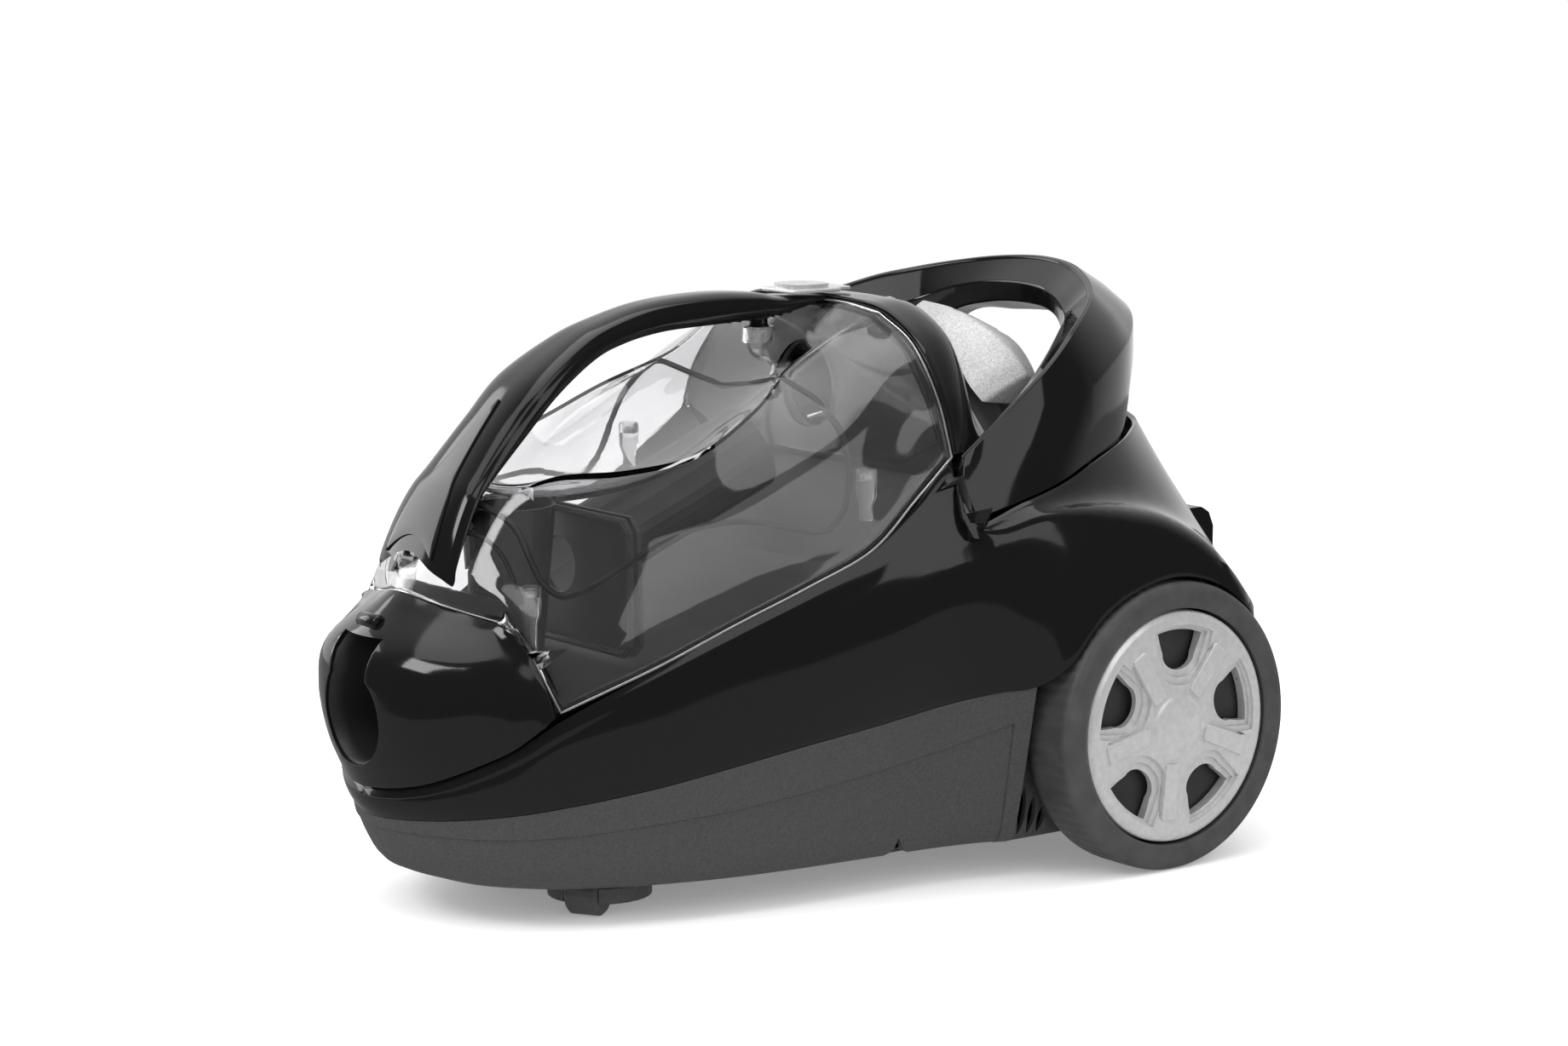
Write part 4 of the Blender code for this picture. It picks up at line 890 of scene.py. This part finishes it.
# ---------------------------------------------------------------- carrying handle
# Half section of the handle: share of its width, of its edges' curl, of its thickness.
HANDLE_OUTLINE = (
    (0, 0.12, 0.02), (0.30, 0.14, 0.02), (0.58, 0.28, 0.045), (0.78, 0.52, 0.10), (0.88, 0.68, 0.16),
    (0.915, 0.74, 0.22), (0.93, 0.80, 0.29), (0.975, 0.93, 0.40), (1.0, 1.0, 0.56), (0.99, 1.0, 0.72),
    (0.955, 1.0, 0.86), (0.90, 0.98, 0.95), (0.80, 0.9, 0.985), (0.5, 0.45, 0.93), (0, 0.15, 0.90),
)


def handle_point(rows, t, outline):
    """Point of the handle at spine place t (in stations) for a spot of the outline."""
    def spine(place):
        index = np.arange(len(rows)) / HANDLE_STEPS
        return [np.interp(place, index, rows[:, k]) for k in range(5)]

    y, z, width, thick, curl = spine(t)
    ahead, behind = spine(t + 0.06), spine(t - 0.06)
    run_y, run_z = ahead[0] - behind[0], ahead[1] - behind[1]
    run = math.hypot(run_y, run_z)
    share, curve, depth = outline
    fall = curve * curl + depth * thick
    return (share * width, y + run_z / run * fall, z - run_y / run * fall)


def foot_start(share, depth):
    """Where the handle starts: arched in the middle, pointed at two tips, rising to the back."""
    arch = 1.25 * max(0.0, 1 - (share / 0.96) ** 2)
    return min(arch + 1.7 * max(0.0, depth - 0.42), 2.4)


def handle_grid(rows):
    """Points of the half handle, station by station round its outline."""
    last = len(HANDLE_STATIONS)
    outline = [*smooth(HANDLE_OUTLINE[:6], 2)[:-1], *smooth(HANDLE_OUTLINE[5:], 2)]
    foot_end = 4.5
    grid = []
    for k in np.linspace(0, last, 110):
        fade = max(0.0, 1 - k / foot_end)
        grid.append([handle_point(rows, min(k + foot_start(spot[0], spot[2]) * fade, last), spot)
                     for spot in outline])
    grid = np.array(grid)
    grid[:, 0, 0] = grid[:, -1, 0] = 0
    return grid


def close_end(bm, row):
    """Fill an open end of the half handle with a strip of faces between its two halves."""
    ends = [min(bm.verts, key=lambda v: (v.co - Vector(p) * MM).length) for p in row]
    ends = list(dict.fromkeys(ends))
    for i in range(len(ends) // 2 - 1):
        quad = list(dict.fromkeys((ends[i], ends[i + 1], ends[-i - 2], ends[-i - 1])))
        if len(quad) > 2 and not bm.faces.get(quad):
            bm.faces.new(quad)


def carry_handle():
    rows = smooth((HANDLE_FOOT,) + HANDLE_STATIONS, HANDLE_STEPS)
    grid = handle_grid(rows)
    mesh = grid_mesh("carry_handle_gloss", grid)
    obj = new_object("carry_handle_gloss", mesh, "gloss_black", "bin", replaces=("carry_handle",))
    with editing(mesh) as bm:
        close_end(bm, grid[0])
        close_end(bm, grid[-1])
        bmesh.ops.recalc_face_normals(bm, faces=bm.faces)
    mirrored(obj)
    round_edges(obj, 0.5, 2, 42)
    soften(obj, 38)
    handle_panel(rows)
    grip_ribs(rows)


def handle_panel(rows):
    """Leaf-shaped panel on the handle's foot: a raised sheet of the same gloss plastic."""
    foot, length, leaning = 1.62, 3.75, 0.18
    points = []
    for v in np.linspace(0, 1, 15):
        half = 0.60 * (1 - v ** 1.6) + 0.015
        row = []
        for u in np.linspace(-1, 1, 17):
            share = u * half + leaning * v
            t = foot + length * v - 0.5 * u * u * (1 - v)
            x, y, z = handle_point(rows, t, (abs(share), 0.14 + 0.4 * share ** 2, -0.03))
            row.append((math.copysign(x, share), y, z))
        points.append(row)
    mesh = grid_mesh("handle_panel", np.array(points), True)
    obj = new_object("handle_panel", mesh, "gloss_black", "bin")
    walled(obj, 1.2, 0)
    round_edges(obj, 0.35, 3, 50)
    soften(obj, 45)


def grip_ribs(rows):
    """Row of ribs under the rear of the grip."""
    first, pitch = 10.3, 0.235
    for k in range(9):
        x, y, z = handle_point(rows, first + pitch * k, (0.86, 0.9, 0.93))
        low, high = (-x, y - 0.55, z - 1.3), (x, y + 0.55, z + 2.4)
        block(f"grip_rib_{k}", low, high, "gloss_black", "bin", 0.35)


def handle_fittings():
    """Post, clear collar, and the black catch behind the foot."""
    low, high = corners("handle_post")
    x, y, _ = centre("handle_post")
    foot = (x, y, low[2])
    r, top = (high[0] - low[0]) / 2, high[2] - low[2]
    post = ((0, 0), (r - 0.6, 0), (r - 0.6, 2), (r - 1.2, 2.6), (r - 1.2, top - 2.5), (r, top - 1.6),
            (r, top), (0, top))
    turned("handle_post_gloss", post, foot, "Z", "gloss_black", "bin", replaces=("handle_post",))
    collar = ((r + 0.5, -6), (r + 2.6, -6), (r + 2.2, 0.8), (r + 1.6, 1.4), (r + 0.7, 1.2))
    turned("post_collar", collar, foot, "Z", "clear_rim", "bin", ring=True)
    lean = 28
    for k, (width, y0, z0) in enumerate(((17, -176, 187), (18, -180, 179), (16, -184, 171))):
        block(f"foot_catch_{k}", (-width, y0 - 4, z0), (width, y0 + 3, z0 + 4.6), "seal_rubber", "bin",
              0.8, turn=lean)
    block("foot_catch_spine", (-12, -184, 170), (12, -179, 191), "gloss_black", "bin", 1.2, turn=lean)


def latch_button():
    """Ribbed thumb slide with its hook plate over the rear edge of the bin."""
    (_, y0, z0), (_, y1, z1) = corners("latch_button")
    block("latch_flange", (-13, y0, z0), (13, 25.5, z0 + 1.9), "silver", "latch", 0.8,
          ("latch_button",))
    outline = [(11.4 * math.copysign(abs(u) ** 0.7, u), 12 + 11.6 * math.copysign(abs(v) ** 0.7, v))
               for u, v in circle(0, 0, 1, 64)]
    grooves = []
    for k in range(10):
        groove = prism([(-9.4, -0.42), (9.4, -0.42), (9.4, 0.42), (-9.4, 0.42)], z1 - 0.7, z1 + 1, "Z")
        place = Matrix.Translation((0, (3.2 + 1.95 * k) * MM, 0))
        groove.matrix_world = place @ Matrix.Rotation(0.22, 4, "Z")
        grooves.append(groove)
    thumb = new_object("latch_thumb_pad", prism_mesh(outline, z0 + 1.2, z1, "Z"), "silver", "latch")
    carve(thumb, grooves)
    round_edges(thumb, 0.3, 2, 40)
    soften(thumb, 35)
    block("latch_hook_plate", (-8, 24, z0), (8, y1, z0 + 1.8), "silver", "latch", 0.6)


# ---------------------------------------------------------------- crown, hoop, pedals
# Place of the left pedal's pin, X and Y.
PEDAL_PIN = (48, 78)


def rear_dome():
    along = smooth(DOME_STATIONS, 6, "free", "mirror")
    obj = skin("crown_gloss", across(along, 6), "gloss_black", "chassis", ("rear_dome",))
    settle(obj)
    carve(obj, [prism(circle(side * PEDAL_PIN[0], PEDAL_PIN[1], 4), 200, 250, "Z") for side, _ in SIDES])
    round_edges(obj, 0.4, 2, 50)


def between(start, end, share=0.5):
    return start * (1 - share) + end * share


def hoop_section(ridge, inner_top, inner_low, outer_low, shoulder):
    """One closed section of the hoop, its side a little swollen."""
    swell = (shoulder - between(inner_top, outer_low)) * 0.06
    return [ridge, between(ridge, inner_top, 0.65), inner_top,
            between(inner_top, inner_low), inner_low,
            between(inner_low, outer_low), outer_low,
            between(outer_low, shoulder, 0.45) + swell, shoulder, between(shoulder, ridge) + swell]


def rear_hoop():
    columns = smooth(HOOP_STATIONS, 8, "free", "mirror")
    grid = np.array([hoop_section(*column) for column in columns])
    mesh = grid_mesh("rear_hoop_gloss", grid, False, True)
    with editing(mesh) as bm:
        front = [e for e in bm.edges if e.is_boundary and all(v.co.x > 20 * MM for v in e.verts)]
        bmesh.ops.holes_fill(bm, edges=front, sides=20)
        bmesh.ops.recalc_face_normals(bm, faces=bm.faces)
    obj = new_object("rear_hoop_gloss", mesh, "gloss_black", "chassis", replaces=("rear_hoop",))
    mirrored(obj)
    round_edges(obj, 1.1, 4, 24)
    soften(obj, 50)
    ridge = columns[:, 0]
    inward = columns[:, 1] - ridge
    inward /= np.linalg.norm(inward, axis=1, keepdims=True)
    bead = ridge + inward * 1.6 - np.array((0, 0, 0.9))
    tube("hoop_bead", both_sides(bead), 1.5, "gloss_black", "chassis", sides=12)


def pedal_dish(side):
    """Cutter for the shallow oval in the top of a pedal."""
    place = Vector((side * 41, 87.3, 249.6)) * MM
    normal = Vector((side * 0.26, 0.40, 0.88)).normalized()
    turn = normal.to_track_quat("Z", "Y").to_matrix().to_4x4()
    spin = Matrix.Rotation(math.radians(90 * side), 4, "Z")
    cutter = prism([(15.5 * u, 6.4 * v) for u, v in circle(0, 0, 1, 72)], -0.9, 6, "Z")
    cutter.matrix_world = Matrix.Translation(place) @ turn @ spin
    return cutter


def pedal(side, label):
    body = f"{label}_pedal"
    rows = smooth(PEDAL_STATIONS, 6)
    rows[:, :, 0] *= side
    front, ridge, rear, foot = (rows[:, k] for k in range(4))
    brow = between(front, ridge) + np.array((0, -0.4, 0.3))
    crest = between(ridge, rear) + np.array((0, 0, 0.5))
    grid = np.stack([front, brow, ridge, crest, rear, foot], axis=1)
    mesh = grid_mesh(f"{body}_silver", grid, side < 0, True)
    with editing(mesh) as bm:
        bmesh.ops.holes_fill(bm, edges=bm.edges, sides=8)
        bmesh.ops.recalc_face_normals(bm, faces=bm.faces)
    obj = new_object(f"{body}_silver", mesh, "flake", body, replaces=(body,))
    round_edges(obj, 2.4, 5, 20)
    settle(obj)
    carve(obj, [pedal_dish(side)])
    round_edges(obj, 0.35, 2, 40)
    soften(obj, 35)
    pin = ((0, 214), (2.6, 214), (3, 214.6), (3, 238), (0, 238))
    turned(f"{body}_pin", pin, (side * PEDAL_PIN[0], PEDAL_PIN[1], 0), "Z", "flake", body, 32)


# ---------------------------------------------------------------- wheels
FIRST_WINDOW, FIRST_SPOKE, SPOKE_STEP = 86, 50, 72
GROOVE_SIDES = (1, 1, -1, -1, 1)
TREAD_STEPS = 288
TREAD_DEPTH = 0.6


def polar(radius, degrees):
    return (radius * math.cos(math.radians(degrees)), radius * math.sin(math.radians(degrees)))


def window_outline(grow, angle):
    """Window between two spokes: arc at the rim, round inner end; grow 1 is its outer frame."""
    half, base = 9.9 + 5.0 * grow, 34 - 4 * grow
    side = [(-13.6 - 4.6 * grow, 43.4 + 0.9 * grow), (-11.9 - 4.8 * grow, 38.5 - 1.5 * grow),
            (-half, base)]
    reach = 7.6 + 2.9 * grow
    inner = [(math.cos(a) * half, base + math.sin(a) * reach)
             for a in np.linspace(math.pi, math.tau, 19)[1:-1]]
    bow, rim = 0.304 + 0.084 * grow, 45.5 + 2.4 * grow
    outer = [(rim * math.sin(a), rim * math.cos(a)) for a in np.linspace(bow, -bow, 17)]
    return turn_outline(side + inner + [(-u, v) for u, v in reversed(side)] + outer, angle)


def turn_outline(outline, angle):
    """Turn an outline drawn along +V so that it points at the angle."""
    cos, sin = polar(1, angle - 90)
    return [(u * cos - v * sin, u * sin + v * cos) for u, v in outline]


def on_wheel(outline):
    return [(AXLE_Y + u, WHEEL_R + v) for u, v in outline]


def spoke_pad(angle, lean):
    """Rounded rectangle along a spoke, set a little to one side."""
    pad = []
    for u, v, start in ((3.2, 42.5, 0), (-3.2, 42.5, 90), (-2.6, 18.5, 180), (2.6, 18.5, 270)):
        for a in np.linspace(start, start + 90, 6):
            corner_u, corner_v = polar(1.3, a)
            pad.append((u - 2.4 * lean + corner_u, v + corner_v))
    return turn_outline(pad, angle)


def cap_cutters():
    """Stepped windows between the spokes, and a slim groove beside each spoke."""
    outside = WHEEL_FACE + 9
    cutters = []
    for k, lean in enumerate(GROOVE_SIDES):
        for grow, depth in ((1.0, 2.0), (0.5, 3.6), (0.0, 12.0)):
            window = window_outline(grow, FIRST_WINDOW + SPOKE_STEP * k)
            cutters.append(prism(on_wheel(window), WHEEL_FACE - depth, outside, "X"))
        spoke = FIRST_SPOKE + SPOKE_STEP * k
        groove = leaf(polar(22, spoke + 12 * lean), polar(43.5, spoke + 10.5 * lean), 1.25)
        cutters.append(prism(on_wheel(groove), WHEEL_FACE - 2.2, outside, "X"))
    return cutters


def hubcaps():
    """Wheel cap with five windows and a raised pad on each spoke, and its mirror image."""
    profile = ((0, 1.0), (6, 0.98), (11, 0.8), (13.5, 0.55), (14.6, 0.05), (15.4, -0.4), (51, -0.4),
               (52.8, -0.9), (54, -1.9), (CAP_R, -3.6), (CAP_R, -9), (50, -9), (20, -5.4), (0, -5))
    cap = turned("hubcap_left_silver", profile, (WHEEL_FACE, AXLE_Y, WHEEL_R), "X", "silver",
                 "wheel_left", 160, replaces=("hubcap_left",))
    carve(cap, cap_cutters())
    merge_flats(cap)
    soften(cap, 30)
    for k, lean in enumerate(GROOVE_SIDES):
        outline = on_wheel(spoke_pad(FIRST_SPOKE + SPOKE_STEP * k, lean))
        mesh = prism_mesh(outline, WHEEL_FACE - 2.2, WHEEL_FACE + 0.7, "X")
        pad = new_object(f"spoke_pad_left_{k}", mesh, "silver", "wheel_left")
        soften(pad, 35)
        opposite(pad, f"spoke_pad_right_{k}", 0.35, 3, 40)
    opposite(cap, "hubcap_right_silver", 0.2, 2, 38, ("hubcap_right",))


def opposite(source, name, width, segments, angle, replaces=()):
    """Mirror a left wheel's piece to the right one, and round the edges of both."""
    mesh = source.data.copy()
    mesh.transform(Matrix.Scale(-1, 4, (1, 0, 0)))
    mesh.flip_normals()
    obj = new_object(name, mesh, "silver", "wheel_right", replaces=replaces)
    soften(obj, 26)
    round_edges(source, width, segments, angle)
    round_edges(obj, width, segments, angle)


def tyre_profile():
    """Section of the tyre: radius, and distance from the middle of the machine."""
    face, back, r, inner = WHEEL_FACE, WHEEL_BACK, WHEEL_R, 55.6
    return ((inner, face - 1.2), (inner + 0.8, face - 0.4), (inner + 2.2, face), (r - 4.6, face),
            (r - 2.2, face - 0.5), (r - 0.8, face - 1.7), (r - 0.15, face - 3.4), (r, face - 6),
            (r, back + 6), (r - 0.4, back + 3), (r - 1.6, back + 0.8), (r - 3.4, back), (inner, back))


def tyre(side, label):
    """Tyre with fine ribs across its tread."""
    profile = [(radius, side * across_x) for radius, across_x in tyre_profile()]
    obj = turned(f"tyre_{label}_ribbed", profile, (0, AXLE_Y, WHEEL_R), "X", "tyre_rubber",
                 f"wheel_{label}", TREAD_STEPS, True, (f"tyre_{label}",))
    for vert in obj.data.vertices:
        x, y, z = abs(vert.co.x) / MM, vert.co.y / MM - AXLE_Y, vert.co.z / MM - WHEEL_R
        radius = math.hypot(y, z)
        step = round(math.atan2(z, y) / math.tau * TREAD_STEPS)
        on_tread = radius > WHEEL_R - 0.3 and WHEEL_BACK + 2 < x < WHEEL_FACE - 4
        if on_tread and step % 4 < 2:
            sunk = 1 - TREAD_DEPTH / radius
            vert.co.y = (AXLE_Y + y * sunk) * MM
            vert.co.z = (WHEEL_R + z * sunk) * MM
    soften(obj, 30)


# ---------------------------------------------------------------- CAD nodes that stay
NODE_LOOKS = {
    "steel": ("axle_left", "axle_right", "caster_pin_left", "caster_pin_right", "power_spring",
              "rewind_spring", "impeller", "motor_shaft", "rear_bearing", "reel_bracket", "reel_axle"),
    "copper": ("stator", "armature"),
    "foam": ("premotor_filter",),
    "bin_dark": ("mesh_filter", "cyclone_cone", "separator_plate", "bin_tray", "bulkhead",
                 "bin_inlet_panel", "bin_cradle"),
    "white_filter": ("exhaust_filter",),
    "board_green": ("control_board",),
    "seal_rubber": ("bin_seal", "inlet_seal", "motor_mount_front", "motor_mount_rear", "cord_outlet"),
    "smoke_clear": ("bin_rear_panel",),
    "tyre_rubber": ("caster_roller_left", "caster_roller_right"),
    "gloss_black": ("exhaust_grille",),
    "wheel_black": ("wheel_disc_left", "wheel_disc_right"),
    "matte_grey": ("caster_cup_left", "caster_cup_right", "caster_fork_left", "caster_fork_right",
                   "reel_drum"),
}


def dress_nodes():
    """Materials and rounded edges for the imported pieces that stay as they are."""
    finishes = {node: look for look, nodes in NODE_LOOKS.items() for node in nodes}
    for name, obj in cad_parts.items():
        if obj.hide_render:
            continue
        for slot in obj.material_slots:
            slot.material = LOOKS[finishes.get(name, "inner_grey")]
        round_edges(obj, 0.25, 2, 35)


# ---------------------------------------------------------------- stage, light, camera
FLOOR_R = 1.1
FLOOR_CENTRE = (-0.56, 0.42, 0.0)
FLOOR_GLOW = 0.22
FLOOR_IN_GLOSS = 0.30
SKY_SIDE = (-0.80, 0.60, 0.25)
LENS = 84.99
CAMERA_PLACE = (1.38398, -1.02557, 0.42362)
CAMERA_DIP = 8.794
CAMERA_TURN = 53.413


def mirror_only(tree):
    """1 for what a gloss surface mirrors, 0 for the eye and for what is seen through clear plastic."""
    paths = tree.nodes.new("ShaderNodeLightPath")
    less = tree.nodes.new("ShaderNodeMath")
    less.operation = "SUBTRACT"
    less.use_clamp = True
    tree.links.new(paths.outputs["Is Glossy Ray"], less.inputs[0])
    tree.links.new(paths.outputs["Is Transmission Ray"], less.inputs[1])
    return less.outputs[0]


def stage():
    """Round white table top; a faint glow of its own keeps it paper white beyond the shadow."""
    bpy.ops.mesh.primitive_circle_add(vertices=96, radius=FLOOR_R, fill_type="NGON",
                                      location=FLOOR_CENTRE)
    floor = bpy.context.object
    floor.name = "floor"
    white = bpy.data.materials.new("floor_white")
    white.use_nodes = True
    shader = white.node_tree.nodes["Principled BSDF"]
    shader.inputs["Base Color"].default_value = (0.9, 0.9, 0.9, 1)
    shader.inputs["Roughness"].default_value = 0.8
    shader.inputs["Specular IOR Level"].default_value = 0.1
    shader.inputs["Emission Color"].default_value = (1, 1, 1, 1)
    shader.inputs["Emission Strength"].default_value = FLOOR_GLOW
    dim = white.node_tree.nodes.new("ShaderNodeEmission")
    dim.inputs["Strength"].default_value = FLOOR_IN_GLOSS
    mix = white.node_tree.nodes.new("ShaderNodeMixShader")
    links = white.node_tree.links
    links.new(mirror_only(white.node_tree), mix.inputs[0])
    links.new(shader.outputs[0], mix.inputs[1])
    links.new(dim.outputs[0], mix.inputs[2])
    links.new(mix.outputs[0], white.node_tree.nodes["Material Output"].inputs["Surface"])
    floor.data.materials.append(white)


def softbox(name, aim_at, direction, distance, size, power):
    """Square lamp that faces a point of the object from a direction."""
    lamp = bpy.data.lights.new(name, "AREA")
    lamp.size = size
    lamp.energy = power
    obj = bpy.data.objects.new(name, lamp)
    bpy.context.scene.collection.objects.link(obj)
    away = Vector(direction).normalized()
    obj.location = Vector(aim_at) + away * distance
    obj.rotation_euler = away.to_track_quat("Z", "Y").to_euler()


def sky():
    """White for the eye and through clear plastic; for gloss dimmer, and dark in front."""
    world = bpy.data.worlds.new("studio")
    bpy.context.scene.world = world
    world.use_nodes = True
    tree = world.node_tree
    background = tree.nodes["Background"]
    place = tree.nodes.new("ShaderNodeTexCoord")
    towards = tree.nodes.new("ShaderNodeVectorMath")
    towards.operation = "DOT_PRODUCT"
    towards.inputs[1].default_value = SKY_SIDE
    tree.links.new(place.outputs["Generated"], towards.inputs[0])
    fall = tree.nodes.new("ShaderNodeMapRange")
    set_range(fall, 0.05, 0.75, 0.05, 0.8)
    tree.links.new(towards.outputs["Value"], fall.inputs["Value"])
    mix = tree.nodes.new("ShaderNodeMix")
    mix.inputs[2].default_value = 1.0
    tree.links.new(mirror_only(tree), mix.inputs[0])
    tree.links.new(fall.outputs["Result"], mix.inputs[3])
    tree.links.new(mix.outputs[0], background.inputs["Strength"])
    background.inputs["Color"].default_value = (1, 1, 1, 1)


def lights():
    sky()
    softbox("overhead", (0, 0, 0.15), (0.05, -0.1, 1), 1.6, 1.7, 15)
    softbox("key", (0.038, -0.225, 0.119), (-0.04, -0.715, 0.70), 1.4, 0.5, 6)
    softbox("side", (0.1, 0.05, 0.15), (1.0, 0.1, 0.5), 1.7, 1.1, 5)
    softbox("fill", (0, 0, 0.1), (-0.9, -0.5, 0.4), 1.8, 1.0, 8)


def camera():
    lens = bpy.data.cameras.new("photo_view")
    lens.lens = LENS
    lens.sensor_width = 36
    obj = bpy.data.objects.new("photo_view", lens)
    obj.location = CAMERA_PLACE
    obj.rotation_euler = (math.radians(90 - CAMERA_DIP), 0, math.radians(CAMERA_TURN))
    bpy.context.scene.collection.objects.link(obj)
    bpy.context.scene.camera = obj
    bpy.context.scene.view_settings.view_transform = "Standard"


def build():
    lower_shell()
    upper_shell()
    nose_cover()
    rear_dome()
    rear_hoop()
    bin_cover()
    bin_details()
    carry_handle()
    handle_fittings()
    latch_button()
    for side, label in ((1, "power"), (-1, "rewind")):
        pedal(side, label)
    hubcaps()
    for side, label in SIDES:
        tyre(side, label)
    dress_nodes()


build()
stage()
lights()
camera()
